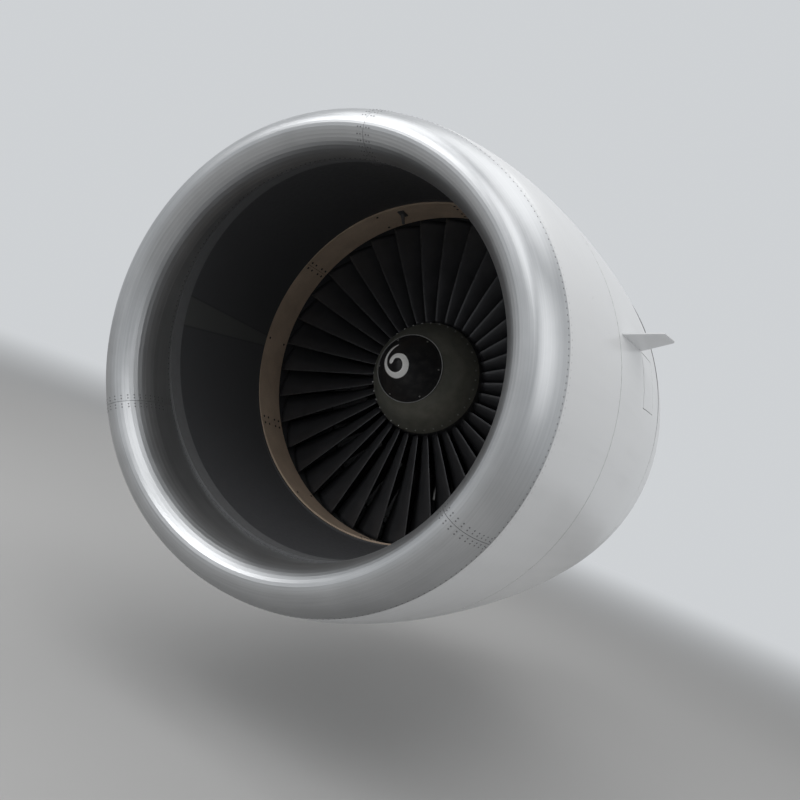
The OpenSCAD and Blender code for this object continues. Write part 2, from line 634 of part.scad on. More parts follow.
module combustor_liner() {
    dome = burner_joint_y + 78;
    exit = hot_joint_y - 10;
    color("peru") turned([[160, dome + 20], [240, dome], [330 - seat, dome + 20], [330 - seat, dome + 26], [300, dome + 30],
        [300, exit - 24], [315, exit - 4], [311, exit], [292, exit - 18], [292, dome + 36], [240, dome + 8], [168, dome + 26],
        [168, exit - 18], [190, exit - 4], [186, exit], [160, exit - 14]]);
}
module turbine_case() {
    color("gray") {
        turned(concat([[turbine_fwd_r, hot_joint_y + seat], [352, hot_joint_y + seat], [352, hot_joint_y + 14],
            [338, hot_joint_y + 14], [338, rear_joint_y - 494], [362, rear_joint_y - 464], [398, rear_joint_y - 294],
            [432, rear_joint_y - 134], [446, rear_joint_y - 14], [470, rear_joint_y - 14], [470, rear_joint_y]],
            flip(turbine_in), [[turbine_fwd_r, rear_joint_y - 494]]));
        for (i = [0 : 3]) let (y = wheel_fwd_y + 10 + wheel_step * i) tube(turbine_in_r(y) + 4, turbine_in_r(y) + 26, y, y + 8);
    }
}
rear_frame_r = 444;
module turbine_rear_frame() {
    color("gray") {
        turned([[434, rear_joint_y + seat], [470, rear_joint_y + seat], [470, rear_joint_y + 14],
            [rear_frame_r, rear_joint_y + 14], [rear_frame_r, turbine_aft_y], [424, turbine_aft_y],
            [424, rear_joint_y + 26]]);
        // Hub, its web and the struts across the exhaust passage
        tube(80, 262, rear_joint_y + 56, rear_joint_y + 126);
        turned([[240, rear_joint_y + 46], [262, rear_joint_y + 46], [258, turbine_aft_y], [236, turbine_aft_y]]);
        for (i = [0 : 11]) at_clock(i * 30) translate([0, rear_joint_y + 66, 255])
            linear_extrude(height = 174) polygon([[-4, 0], [0, -14], [4, 0], [7, 40], [3, 90], [-3, 90], [-7, 40]]);
    }
}
function nozzle_out(t) = 430 - (430 - 336) * (0.35 * t + 0.65 * t * t);
module exhaust_nozzle() {
    ts = even(0, 1, 10);
    span = core_nozzle_y - turbine_aft_y;
    color("dimgray") {
        turned(concat([for (t = ts) [nozzle_out(t), turbine_aft_y + seat + span * t]],
            flip([for (t = ts) [nozzle_out(t) - 9, turbine_aft_y + seat + span * t]])));
        tube(420, rear_frame_r, turbine_aft_y + seat, turbine_aft_y + 12);
    }
}
function plug_r(t) = 250 * (1 - 0.92 * pow(t, 1.5)) + 18 * sin(180 * min(1, t * 2.2));
module exhaust_plug() {
    ts = even(0, 1, 18);
    span = plug_y - turbine_aft_y;
    color("dimgray") turned(concat([[0, turbine_aft_y + seat]], [for (t = ts) [plug_r(t), turbine_aft_y + seat + span * t]],
        [[0, plug_y]]));
}

// ACCESSORIES

drive_y = 590;
drive_r = 8;
drive_end_r = max_r - 135;
gear_boss_r = 18;
neck_r = max_r - 105;
band_r = case_r + case_wall + 8;
box_y = [60, 220];
box_z = [5 - max_r, 165 - max_r];
// Gear train box that follows the fan case, with the neck that takes the radial drive
module accessory_gearbox() {
    color("dimgray") difference() {
        union() {
            intersection() {
                tube(case_flange_r + 12, max_r - 25, box_y[0] - 10, box_y[1] + 10);
                translate([-500, box_y[0], box_z[0]]) cube([1000, box_y[1] - box_y[0], box_z[1] - box_z[0]]);
            }
            spoke(180, drive_y, 26, case_flange_r + seat + 0.5, neck_r);
            translate([-30, box_y[1] - 10, -neck_r]) cube([60, drive_y - box_y[1] + 30, 60]);
            for (c = [160, 200]) spoke(c, (box_y[0] + box_y[1]) / 2, 20, band_r + seat + 0.3, max_r - 65);
        }
        spoke(180, drive_y, drive_r + 0.1, 0, drive_end_r + 10);
    }
}
module radial_drive_shaft() {
    color("silver") {
        spoke(180, drive_y, drive_r, journal_r + 12, drive_end_r);
        // Bevel gear's boss, ahead of the bearing
        spoke(180, drive_y, gear_boss_r, journal_r + 8, journal_r + 26);
    }
}
tank_clock = 68;
tank_r = case_r + case_wall + 24;
tank_depth = 72;
tank_foot_r = 14;
filler_r = 28;
filler_rise = 26;
module oil_tank() {
    color("silver") {
        intersection() {
            tube(tank_r, tank_r + tank_depth, -40, 330);
            at_clock(tank_clock) translate([-190, -30, 0]) cube([380, 340, 1200]);
        }
        for (c = [-8, 8]) {
            spoke(tank_clock + c, 20, tank_foot_r, band_r + seat + 0.1, tank_r + 10);
            spoke(tank_clock + c, 250, tank_foot_r, case_r + case_wall + seat + 0.1, tank_r + 10);
        }
        spoke(tank_clock + 4, 100, filler_r, tank_r + tank_depth - 6, tank_r + tank_depth + filler_rise);
    }
}
module air_starter() {
    color("dimgray") translate([230, box_y[1], -neck_r]) {
        rod(60, seat, 80);
        rod(72, 80, 160);
        rod(45, 160, 200);
    }
}

// FAN COWL DOORS

hinge_x = door_edge_x - 4;
hinge_z = max_r - 35;
knuckle_r = 12;
knuckle_len = 50;
lug_step = knuckle_len + 2;
hinge_stations = [-380, 60, 500];
door_fwd = cowl_fwd_y + door_gap / 2;
door_aft = cowl_aft_y - door_gap / 2;
door_stations = even(door_fwd, door_aft, 20);
module cowl_shell(from, span) {
    turned_sector(concat([for (y = door_stations) [skin_r(y), y]], flip([for (y = door_stations) [skin_r(y) - cowl_wall, y]])),
        from, span);
}
// Places along the hinge line of one side: side is 1 for the left door, -1 for the right
module hinge_line(side) { translate([side * hinge_x, 0, hinge_z]) children(); }
// A block from x0 to x1 outwards of the middle plane on one side
module side_block(side, x0, x1, y0, y1, z0, z1) {
    translate([side > 0 ? x0 : -x1, y0, z0]) cube([x1 - x0, y1 - y0, z1 - z0]);
}
module fan_cowl(side) {
    difference() {
        union() {
            difference() {
                cowl_shell(side > 0 ? 0 : 180, 180);
                side_block(side, -10, door_edge_x, -big, big, 0, big);
                side_block(side, -10, door_gap / 2, -big, big, -big, 1);
                for (y = hinge_stations, e = [-1, 1])
                    hinge_line(side) rod(knuckle_r + 3, y + e * lug_step - knuckle_len / 2 - 2, y + e * lug_step + knuckle_len / 2 + 2);
            }
            for (y = hinge_stations) {
                hinge_line(side) rod(knuckle_r, y - knuckle_len / 2, y + knuckle_len / 2);
                side_block(side, hinge_x, hinge_x + 34, y - knuckle_len / 2, y + knuckle_len / 2, hinge_z - knuckle_r, hinge_z + 8);
            }
        }
        for (y = hinge_stations) hinge_line(side) rod(hinge_pin_r + bearing_gap, y - knuckle_len, y + knuckle_len);
    }
}

// The oil tank's service door in the left cowl turns on a pin along its forward edge
service_clock = 68;
service_y = 40;
service_w = 260;
service_l = 300;
service_t = 8;
service_gap = 3;
// The door's front corner swings forward as it opens
service_fwd_gap = 6;
service_pin_y = service_y + 4;
service_pin_z = max_r - 7.5;
service_knuckle_r = 6;
service_pin_r = 3;
service_barrel = 40;
service_lug = 18;
module on_service_pin() { at_clock(service_clock) translate([0, service_pin_y, service_pin_z]) children(); }
module cross_rod(r, x0, x1) { translate([x0, 0, 0]) rotate([0, 90, 0]) cylinder(r = r, h = x1 - x0, $fn = 48); }
module service_block(fwd, extra) {
    at_clock(service_clock) translate([-service_w / 2 - extra, service_y - fwd, 900])
        cube([service_w + 2 * extra, service_l + fwd + extra, 400]);
}
module fan_cowl_left() {
    color("white") drooped() difference() {
        union() {
            difference() {
                fan_cowl(1);
                service_block(service_fwd_gap, service_gap);
            }
            for (e = [-1, 1]) on_service_pin() translate([e * (service_barrel + 1 + service_lug / 2), 0, 0]) {
                translate([-service_lug / 2, 0, 0]) cross_rod(service_knuckle_r, 0, service_lug);
                translate([-service_lug / 2, -14, -service_knuckle_r]) cube([service_lug, 14, 2 * service_knuckle_r]);
            }
        }
        on_service_pin() cross_rod(service_pin_r + bearing_gap, -100, 100);
    }
}
module oil_service_door() {
    color("white") drooped() {
        difference() {
            intersection() {
                cowl_shell(service_clock - 20, 40);
                service_block(0, 0);
                tube(skin_r(service_y) - service_t, 1300, service_y - 10, service_y + service_l + 10);
            }
            for (e = [-1, 1]) on_service_pin() translate([e * (service_barrel + 1 + service_lug / 2), 0, 0])
                translate([-service_lug / 2 - 1, -20, -30]) cube([service_lug + 2, 28, 60]);
        }
        on_service_pin() {
            cross_rod(service_knuckle_r, -service_barrel, service_barrel);
            cross_rod(service_pin_r, -service_barrel - service_lug + 3, service_barrel + service_lug - 3);
        }
    }
}

// Three handles along the lower edge of the right door, each on a pin at its forward end
latch_stations = [-300, 80, 460];
latch_x0 = 14;
latch_w = 60;
latch_l = 120;
latch_t = 12;
latch_gap = 2;
latch_barrel_r = 9;
latch_pin_r = 4;
module on_latch_pin(y) { translate([-latch_x0 - latch_w, y, -skin_r(y) + latch_barrel_r + 1.5]) children(); }
module fan_cowl_right() {
    color("white") drooped() difference() {
        fan_cowl(-1);
        for (y = latch_stations) {
            translate([-latch_x0 - latch_w - latch_gap, y - latch_barrel_r - latch_gap, -1300])
                cube([latch_w + 2 * latch_gap, latch_l + latch_barrel_r + 2 * latch_gap, 400]);
            on_latch_pin(y) cross_rod(latch_pin_r + bearing_gap, -10, latch_w + 9);
        }
    }
}
module cowl_latch(i) {
    y = latch_stations[i];
    color("silver") drooped() {
        intersection() {
            cowl_shell(180, 10);
            translate([-latch_x0 - latch_w, y, -skin_r(y)]) cube([latch_w, latch_l, latch_t]);
        }
        on_latch_pin(y) {
            cross_rod(latch_barrel_r, 0, latch_w);
            cross_rod(latch_pin_r, -9, latch_w + 8);
        }
    }
}
strake_clock = 61;
strake_t = 6;
module strake(side) {
    root = max_r - 17;
    color("white") drooped() at_clock(side * strake_clock) difference() {
        translate([strake_t / 2, 0, 0]) rotate([0, -90, 0]) linear_extrude(height = strake_t)
            polygon([[root, -425], [max_r + 112, -300], [max_r + 146, -264], [max_r + 162, -62],
                [max_r + 156, -30], [root, 20]]);
        at_clock(-side * strake_clock) turned(concat([for (y = door_stations) [skin_r(y) + 0.3, y]], [[900, door_aft], [900, door_fwd]]));
    }
}
// Fixed cap and beam between the doors, with the lugs and pins of both hinge lines
module fan_hinge_beam() {
    web_x = 76;
    web_t = 14;
    color("gray") difference() {
        drooped() union() {
            intersection() {
                shell(door_stations, [for (y = door_stations) skin_r(y)], [for (y = door_stations) skin_r(y) - web_t]);
                translate([-cap_half, -600, 900]) cube([2 * cap_half, 1400, 400]);
            }
            intersection() {
                tube(bore_r + 8.5, max_r - 25, door_fwd + 20, door_aft - 20);
                union() {
                    for (x = [-web_x - web_t, web_x]) translate([x, -600, bore_r - 20]) cube([web_t, 1400, 350]);
                    for (y = concat([door_fwd + 20], [for (h = hinge_stations) h - 60], [door_aft - 34]))
                        translate([-web_x - web_t, y, bore_r - 20]) cube([2 * (web_x + web_t), web_t, 350]);
                }
            }
            for (side = [-1, 1], y = hinge_stations) {
                hinge_line(side) rod(hinge_pin_r, y - lug_step - knuckle_len / 2, y + lug_step + knuckle_len / 2);
                for (e = [-1, 1]) {
                    y0 = y + e * lug_step - knuckle_len / 2;
                    hinge_line(side) rod(knuckle_r, y0, y0 + knuckle_len);
                    side_block(side, web_x + 4, hinge_x, y0, y0 + knuckle_len, hinge_z - knuckle_r, hinge_z);
                    side_block(side, web_x + 26, cap_half - 4, y0, y0 + knuckle_len, hinge_z - knuckle_r, hinge_z + 10);
                }
            }
        }
        // Seated on the flanges of the fan case and frame
        translate([0, -1200, 0]) about_axis() cylinder(r = case_flange_r + seat, h = 2400, $fn = smooth);
        // Open over the forward mount
        translate([-mount_hole_x / 2 - 30, mount_y - 100, 0]) cube([mount_hole_x + 60, 400, 1400]);
    }
}

// THRUST REVERSER

rev_fwd_y = frame_aft_y + 6;
skirt_r = max_r - 75;
ring_in_r = fan_nozzle_r - 150;
boat_stations = even(cowl_aft_y - 100, fan_nozzle_y, 24);
ring_stations = even(rev_fwd_y, fan_nozzle_y, 20);
duct_stations = even(rev_fwd_y, core_end_y, 18);
bottom_half = 1;
split_wall = 12;
split_len = 1300;
// The bottom wall starts further aft, clear of the cowl's edge as a half swings
bottom_wall_fwd = 40;
module reverser_ring() {
    difference() {
        on_reverser() turned(concat([for (y = boat_stations) [boat_r(y), y]],
            [[ring_in_r, fan_nozzle_y], [ring_in_r, boat_stations[0]]]));
        // The duct runs on past the nozzle's slightly tilted edge
        turned(concat([for (y = ring_stations) [duct_r(y), y]],
            [[duct_r(fan_nozzle_y), fan_nozzle_y + 60], [0, fan_nozzle_y + 60], [0, rev_fwd_y]]));
        // Room for the fan frame
        tube(0, skirt_r, 400, rev_fwd_y);
        drooped() rod_wide(1500, 0, cowl_aft_y + door_gap / 2);
    }
}
module rod_wide(r, y0, y1) { translate([0, y0, 0]) about_axis() cylinder(r = r, h = y1 - y0, $fn = smooth); }

// The space that a door fills, as half discs round its pivot, grown by extra
module door_space(clock, extra) {
    at_clock(clock) translate([door_w / 2 + extra, pivot_y, pivot_z]) rotate([0, -90, 0])
        linear_extrude(height = door_w + 2 * extra) {
            intersection() {
                circle(r = door_reach + extra, $fn = smooth);
                translate([-big / 2, -big]) square([big, big]);
            }
            intersection() {
                circle(r = door_heel + extra, $fn = smooth);
                translate([-big / 2, -0.01]) square([big, big]);
            }
        }
}
// The upper doors stand further from the top, clear of the slot's walls
door_clocks = [52, 132, 228, 308];
pin_r = 14;
pin_len = 26;
module pivot_pins(clock, r, reach) {
    for (s = [-1, 1]) at_clock(clock) translate([s * (door_w / 2 + reach / 2 - 10), pivot_y, pivot_z])
        rotate([0, 90, 0]) cylinder(r = r, h = reach + 20, center = true, $fn = 48);
}
actuator_r = max_r - 155;
actuator_body_r = 24;
actuator_seat_y = rev_fwd_y + 30;
module on_actuator(clock) { at_clock(clock) translate([0, 0, actuator_r]) children(); }

// Hinge line of the two halves, which falls aft
hinge_fwd = [660, max_r - 75];
hinge_aft = [1950, max_r - 269];
hinge_fall = atan2(hinge_fwd[1] - hinge_aft[1], hinge_aft[0] - hinge_fwd[0]);
reverser_hinge_x = slot_half - 4;
half_hinges = [110, 590, 1100];
half_knuckle_r = 14;
half_knuckle = 60;
half_lug = 50;
module on_half_hinge(side) {
    translate([side * reverser_hinge_x, hinge_fwd[0], hinge_fwd[1]]) rotate([-hinge_fall, 0, 0]) children();
}
module half_space(side) {
    side_block(side, slot_half, big, -big, big, 0, big);
    side_block(side, bottom_half, big, -big, big, -big, 0);
}
module reverser_half(side) {
    clocks = side > 0 ? [door_clocks[0], door_clocks[1]] : [door_clocks[2], door_clocks[3]];
    color("white") difference() {
        union() {
            intersection() {
                union() {
                    difference() {
                        reverser_ring();
                        for (c = clocks) {
                            door_space(c, 5);
                            pivot_pins(c, pin_r + bearing_gap, pin_len + 4);
                            on_actuator(c) rod(actuator_body_r + 0.5, actuator_seat_y, actuator_seat_y + 134);
                        }
                    }
                    shell(duct_stations, [for (y = duct_stations) core_r(y)], [for (y = duct_stations) core_r(y) - core_wall]);
                    // Walls that close the duct beside the slot and at the bottom
                    intersection() {
                        union() {
                            side_block(side, slot_half, slot_half + split_wall, rev_fwd_y, rev_fwd_y + split_len, 0, big);
                            side_block(side, bottom_half, bottom_half + split_wall, rev_fwd_y + bottom_wall_fwd,
                                rev_fwd_y + split_len, -big, 0);
                        }
                        shell(duct_stations, [for (y = duct_stations) duct_r(min(y, fan_nozzle_y)) + 3],
                            [for (y = duct_stations) core_r(y) - 3]);
                    }
                }
                half_space(side);
            }
            for (t = half_hinges) on_half_hinge(side) rod(half_knuckle_r, t - half_knuckle / 2, t + half_knuckle / 2);
        }
        for (t = half_hinges) {
            on_half_hinge(side) rod(reverser_pin_r + bearing_gap, t - half_knuckle, t + half_knuckle);
            for (e = [-1, 1]) on_half_hinge(side)
                rod(half_knuckle_r + 4, t + e * (half_knuckle / 2 + half_lug / 2 + 2) - half_lug / 2 - 2,
                    t + e * (half_knuckle / 2 + half_lug / 2 + 2) + half_lug / 2 + 2);
        }
    }
}
module reverser_door(i) {
    color("white") {
        intersection() {
            reverser_ring();
            door_space(door_clocks[i], 0);
        }
        pivot_pins(door_clocks[i], pin_r, pin_len);
    }
}
// Fixed end and rod of each door's actuator, drawn back
module door_actuator(clock) {
    color("silver") on_actuator(clock) {
        rod(actuator_body_r, actuator_seat_y + seat, actuator_seat_y + 40);
        rod(10, actuator_seat_y + 34, actuator_seat_y + 54);
        translate([0, actuator_seat_y + 56, 0]) cross_rod(10, -7, 7);
    }
}
// Hinge beam in the slot, on the fan frame's aft flange
module reverser_hinge_beam() {
    beam_half = 45;
    color("gray") {
        translate([-beam_half, 0, 0]) rotate([90, 0, 90]) linear_extrude(height = 2 * beam_half)
            polygon([[frame_aft_y + seat, bore_r + 3], [frame_aft_y + seat, hinge_fwd[1] - 10], [hinge_fwd[0] + 20, hinge_fwd[1]],
                [hinge_aft[0] - 80, hinge_aft[1] + 14], [hinge_aft[0] - 80, hinge_aft[1] - 36], [1500, max_r - 315], [700, bore_r + 3]]);
        for (side = [-1, 1], t = half_hinges) {
            on_half_hinge(side) rod(reverser_pin_r, t - half_knuckle / 2 - half_lug - 2, t + half_knuckle / 2 + half_lug + 2);
            for (e = [-1, 1]) on_half_hinge(side) {
                y0 = t + e * (half_knuckle / 2 + half_lug / 2 + 2) - half_lug / 2;
                rod(half_knuckle_r, y0, y0 + half_lug);
                side_block(side, beam_half - 5 - reverser_hinge_x, 0, y0, y0 + half_lug, -half_knuckle_r, 0);
            }
        }
    }
}

// MOUNTS

module forward_mount() {
    w = mount_hole_x + 60;
    l = mount_hole_y + 50;
    color("silver") difference() {
        union() {
            translate([-w / 2, mount_y - l / 2, mount_z - 25]) cube([w, l, 25]);
            for (x = [-55, 35]) translate([x, mount_y - 30, 0]) cube([20, 60, mount_z - 10]);
        }
        for (x = [-1, 1], y = [-1, 1]) translate([x * mount_hole_x / 2, mount_y + y * mount_hole_y / 2, mount_z - 60])
            cylinder(r = mount_hole_r, h = 120, $fn = 48);
        translate([0, mount_y - 200, 0]) about_axis() cylinder(r = case_r + case_wall + seat, h = 400, $fn = smooth);
    }
}
aft_mount_y = rear_joint_y + 96;
aft_bore_z = 538;
module aft_mount() {
    color("silver") difference() {
        union() {
            for (x = [-60, 40]) translate([x, aft_mount_y - 40, 0]) cube([20, 80, aft_bore_z + 22]);
            translate([-60, aft_mount_y - 40, aft_bore_z - 38]) cube([120, 80, 20]);
        }
        rod_wide(rear_frame_r + seat, aft_mount_y - 100, aft_mount_y + 100);
        translate([0, aft_mount_y, aft_bore_z]) cross_rod(12.5, -100, 100);
    }
}

placed() lip_segment(0);  // lip_segment_left
placed() lip_segment(1);  // lip_segment_bottom
placed() lip_segment(2);  // lip_segment_right
placed() intake_outer_barrel();
placed() intake_inner_barrel();
placed() forward_bulkhead();
placed() aft_bulkhead();
placed() intake_bolts();
placed() fan_case();
placed() shroud_panels();
placed() panel_screws();
placed() temperature_probe();
placed() outlet_guide_vanes();
placed() fan_frame();
placed() splitter();
placed() inlet_guide_vanes();
placed() spinner_front_cone();
placed() spinner_ring();
placed() spinner_rear_cone();
placed() spinner_bolts();
placed() fan_disk();
placed() fan_blades();
placed() blade_platforms();
placed() booster_rotor();
placed() fan_shaft();
placed() fan_turbine_rotor();
placed() core_rotor();
placed() {  // shaft_bearings
    bearing(frame_hub_y + 2, frame_hub_y + 26, fan_shaft_r, 100 - seat);
    bearing(rear_joint_y + 58, rear_joint_y + 96, fan_shaft_r, 80 - seat);
}
placed() bearing(frame_aft_y - 30, frame_aft_y - 2, journal_r, bearing_seat_r);  // core_bearing
placed() compressor_case();
placed() combustor_case();
placed() combustor_liner();
placed() turbine_case();
placed() turbine_rear_frame();
placed() exhaust_nozzle();
placed() exhaust_plug();
placed() accessory_gearbox();
placed() radial_drive_shaft();
placed() oil_tank();
placed() air_starter();
placed() fan_hinge_beam();
placed() fan_cowl_left();
placed() fan_cowl_right();
placed() strake(1);  // strake_left
placed() strake(-1);  // strake_right
placed() cowl_latch(0);  // cowl_latch_1
placed() cowl_latch(1);  // cowl_latch_2
placed() cowl_latch(2);  // cowl_latch_3
placed() oil_service_door();
placed() reverser_hinge_beam();
placed() reverser_half(1);  // reverser_left
placed() reverser_half(-1);  // reverser_right
placed() reverser_door(0);  // reverser_door_1
placed() reverser_door(1);  // reverser_door_2
placed() reverser_door(2);  // reverser_door_3
placed() reverser_door(3);  // reverser_door_4
placed() {  // door_actuators_left
    door_actuator(door_clocks[0]);
    door_actuator(door_clocks[1]);
}
placed() {  // door_actuators_right
    door_actuator(door_clocks[2]);
    door_actuator(door_clocks[3]);
}
placed() forward_mount();
placed() aft_mount();
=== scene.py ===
import json
import math

import bpy
from mathutils import Euler, Matrix, Vector


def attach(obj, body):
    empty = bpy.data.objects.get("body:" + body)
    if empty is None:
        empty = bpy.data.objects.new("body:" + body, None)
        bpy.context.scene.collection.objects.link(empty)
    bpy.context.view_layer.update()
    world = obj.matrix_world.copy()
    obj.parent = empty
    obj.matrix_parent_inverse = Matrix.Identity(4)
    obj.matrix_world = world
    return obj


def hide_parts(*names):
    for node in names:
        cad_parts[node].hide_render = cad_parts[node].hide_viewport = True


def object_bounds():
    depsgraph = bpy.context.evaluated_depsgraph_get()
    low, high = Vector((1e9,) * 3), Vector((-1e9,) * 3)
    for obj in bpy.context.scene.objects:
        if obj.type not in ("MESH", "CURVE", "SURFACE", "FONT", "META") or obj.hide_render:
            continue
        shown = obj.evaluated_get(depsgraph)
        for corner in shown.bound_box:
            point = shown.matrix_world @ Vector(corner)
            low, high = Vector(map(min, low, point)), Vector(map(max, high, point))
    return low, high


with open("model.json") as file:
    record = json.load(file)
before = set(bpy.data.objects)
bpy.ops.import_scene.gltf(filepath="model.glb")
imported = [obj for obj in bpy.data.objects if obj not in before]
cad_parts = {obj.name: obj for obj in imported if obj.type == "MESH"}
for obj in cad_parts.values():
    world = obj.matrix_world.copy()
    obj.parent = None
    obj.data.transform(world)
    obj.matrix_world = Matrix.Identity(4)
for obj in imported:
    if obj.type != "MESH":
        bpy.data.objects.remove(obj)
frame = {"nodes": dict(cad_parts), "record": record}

cad_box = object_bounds()
nodes = frame["nodes"]

# Lengths are in metres. Points worked out in the engine frame, whose origin is on the axis at the fan,
# are moved by HOME into the part frame. Clock angles run from up towards +X.
HOME = Vector((0.0, -0.56, -0.965))
# The nacelle droops about CROSS. Its inner barrel runs from the lip's inner joint to the fan case's FLANGE.
DROOP = math.radians(4.2)
CROSS = Vector((0.0, 1.0, 0.0))
FLANGE = Vector((0.0, -0.223, 0.0))
# Stations and radii of the drooped frame: the foremost circle, the inner joint and the greatest girth
NOSE_Y, NOSE_R = -1.24, 0.905
INNER_JOINT_Y, INNER_JOINT_R = -1.0, 0.82
BARREL_SLOPE = 0.0824
MAX_Y, MAX_R = 0.1, 1.115


def drooped(p):
    """A point of the drooped nacelle frame, in the engine frame."""
    return CROSS + Matrix.Rotation(DROOP, 3, "X") @ (Vector(p) - CROSS)


def undrooped(p):
    return CROSS + Matrix.Rotation(-DROOP, 3, "X") @ (Vector(p) - CROSS)


JOINT = drooped((0.0, INNER_JOINT_Y, 0.0))
BARREL_TILT = math.atan2(-JOINT.z, FLANGE.y - JOINT.y)
BARREL_LEN = math.hypot(FLANGE.y - JOINT.y, JOINT.z)
BARREL_Y = FLANGE.y - BARREL_LEN


def on_barrel(p):
    """A point of the inner barrel's own tilted frame, in the engine frame."""
    return FLANGE + Matrix.Rotation(BARREL_TILT, 3, "X") @ (Vector(p) - FLANGE)


def around(clock, r, y):
    a = math.radians(clock)
    return Vector((r * math.sin(a), y, r * math.cos(a)))


def skin_r(y):
    """Outer radius of the nacelle at a station of the drooped frame."""
    if y > MAX_Y:
        tail_fall, tail_len = 0.113, 1.4
        return MAX_R - tail_fall * ((y - MAX_Y) / tail_len) ** 2
    power = 2.375
    t = (y - NOSE_Y) / (MAX_Y - NOSE_Y)
    return NOSE_R + (MAX_R - NOSE_R) * (1 - (1 - t) ** power) ** (1 / power)


def between(start, end, t):
    return start + (end - start) * t


def link(obj):
    bpy.context.scene.collection.objects.link(obj)
    return obj


# MATERIALS


class Finish:
    """A Principled material, with short calls that add texture nodes to it."""

    def __init__(self, name, color, rough, metallic=0.0):
        self.mat = bpy.data.materials.new(name)
        self.mat.use_nodes = True
        self.nodes = self.mat.node_tree.nodes
        self.links = self.mat.node_tree.links
        self.shader = self.nodes["Principled BSDF"]
        self.set("Base Color", (*color, 1.0))
        self.set("Roughness", rough)
        self.set("Metallic", metallic)
        self.set("IOR", 1.45)
        self.coord = self.nodes.new("ShaderNodeTexCoord").outputs["Object"]

    def set(self, socket, value):
        self.shader.inputs[socket].default_value = value

    def plug(self, value, socket):
        """Links a node's output, or writes a plain value, to a socket."""
        if isinstance(value, bpy.types.NodeSocket):
            self.links.new(value, socket)
        else:
            socket.default_value = value

    def feed(self, name, value):
        self.plug(value, self.shader.inputs[name])

    def math(self, kind, a, b=0.0):
        n = self.nodes.new("ShaderNodeMath")
        n.operation = kind
        self.plug(a, n.inputs[0])
        self.plug(b, n.inputs[1])
        return n.outputs[0]

    def times(self, a, b):
        return self.math("MULTIPLY", a, b)

    def less(self, a, b):
        return self.math("SUBTRACT", a, b)

    def dot(self, a, b):
        n = self.nodes.new("ShaderNodeVectorMath")
        n.operation = "DOT_PRODUCT"
        self.plug(a, n.inputs[0])
        self.plug(b, n.inputs[1])
        return n.outputs["Value"]

    def placed(self, turn=0.0, about=(0.0, 0.0, 0.0)):
        """Coordinates of a frame that is tilted about X, with its origin on the engine axis."""
        about = Vector(about)
        back = Matrix.Rotation(-turn, 3, "X")
        shift = about + back @ (-HOME - about)
        n = self.nodes.new("ShaderNodeMapping")
        n.inputs["Rotation"].default_value = Euler((-turn, 0.0, 0.0))
        n.inputs["Location"].default_value = shift
        self.links.new(self.coord, n.inputs["Vector"])
        return n.outputs["Vector"]

    def polar(self, vector):
        """Clock angle in degrees, radius and station."""
        s = self.nodes.new("ShaderNodeSeparateXYZ")
        self.links.new(vector, s.inputs[0])
        x, y, z = s.outputs
        clock = self.times(self.math("ARCTAN2", x, z), 180 / math.pi)
        radius = self.math("SQRT", self.math("ADD", self.times(x, x), self.times(z, z)))
        return clock, radius, y

    def combine(self, x, y, z):
        n = self.nodes.new("ShaderNodeCombineXYZ")
        for v, socket in zip((x, y, z), n.inputs):
            self.plug(v, socket)
        return n.outputs[0]

    def stretched(self, scale):
        n = self.nodes.new("ShaderNodeMapping")
        n.inputs["Scale"].default_value = scale
        self.links.new(self.coord, n.inputs["Vector"])
        return n.outputs["Vector"]

    def noise(self, vector, scale, detail=4.0, rough=0.55):
        n = self.nodes.new("ShaderNodeTexNoise")
        n.inputs["Scale"].default_value = scale
        n.inputs["Detail"].default_value = detail
        n.inputs["Roughness"].default_value = rough
        self.links.new(vector, n.inputs["Vector"])
        return n.outputs["Fac"]

    def spread(self, value, low, high, to_low=0.0, to_high=1.0, smooth=False):
        """Maps a value from one range to another, and holds it there."""
        n = self.nodes.new("ShaderNodeMapRange")
        n.interpolation_type = "SMOOTHSTEP" if smooth else "LINEAR"
        self.plug(value, n.inputs["Value"])
        for name, v in (("From Min", low), ("From Max", high), ("To Min", to_low), ("To Max", to_high)):
            n.inputs[name].default_value = v
        return n.outputs["Result"]

    def ramp(self, value, stops):
        n = self.nodes.new("ShaderNodeValToRGB")
        elements = n.color_ramp.elements
        while len(elements) < len(stops):
            elements.new(0.5)
        for e, (at, color) in zip(elements, stops):
            e.position = at
            e.color = (*color, 1.0)
        self.plug(value, n.inputs["Fac"])
        return n.outputs["Color"]

    def mix(self, factor, a, b):
        n = self.nodes.new("ShaderNodeMix")
        n.data_type = "RGBA"
        self.plug(factor, n.inputs["Factor"])
        for v, socket in ((a, n.inputs[6]), (b, n.inputs[7])):
            self.plug((*v, 1.0) if isinstance(v, tuple) else v, socket)
        return n.outputs[2]

    def bump(self, height, strength, distance=0.001):
        n = self.nodes.new("ShaderNodeBump")
        n.inputs["Strength"].default_value = strength
        n.inputs["Distance"].default_value = distance
        self.plug(height, n.inputs["Height"])
        self.links.new(n.outputs["Normal"], self.shader.inputs["Normal"])

    def facing_out(self, place):
        """1 where the surface looks away from the axis of the place's frame, 0 where it looks towards it."""
        flat = self.nodes.new("ShaderNodeVectorMath")
        flat.operation = "MULTIPLY"
        self.links.new(place, flat.inputs[0])
        flat.inputs[1].default_value = (1.0, 0.0, 1.0)
        unit = self.nodes.new("ShaderNodeVectorMath")
        unit.operation = "NORMALIZE"
        self.links.new(flat.outputs[0], unit.inputs[0])
        normal = self.nodes.new("ShaderNodeTexCoord").outputs["Normal"]
        return self.spread(self.dot(normal, unit.outputs[0]), 0.25, 0.35)


def scaled(color, k):
    return tuple(c * k for c in color)


PAINT = (0.74, 0.75, 0.76)
# Near-black tones of the fan duct's lining: its own colour, darkened further as painted shade of the unlit
# duct
DUCT_LINING_SHADE_DARK = (0.030, 0.031, 0.033)
DUCT_LINING_SHADE_LIGHT = (0.050, 0.051, 0.054)


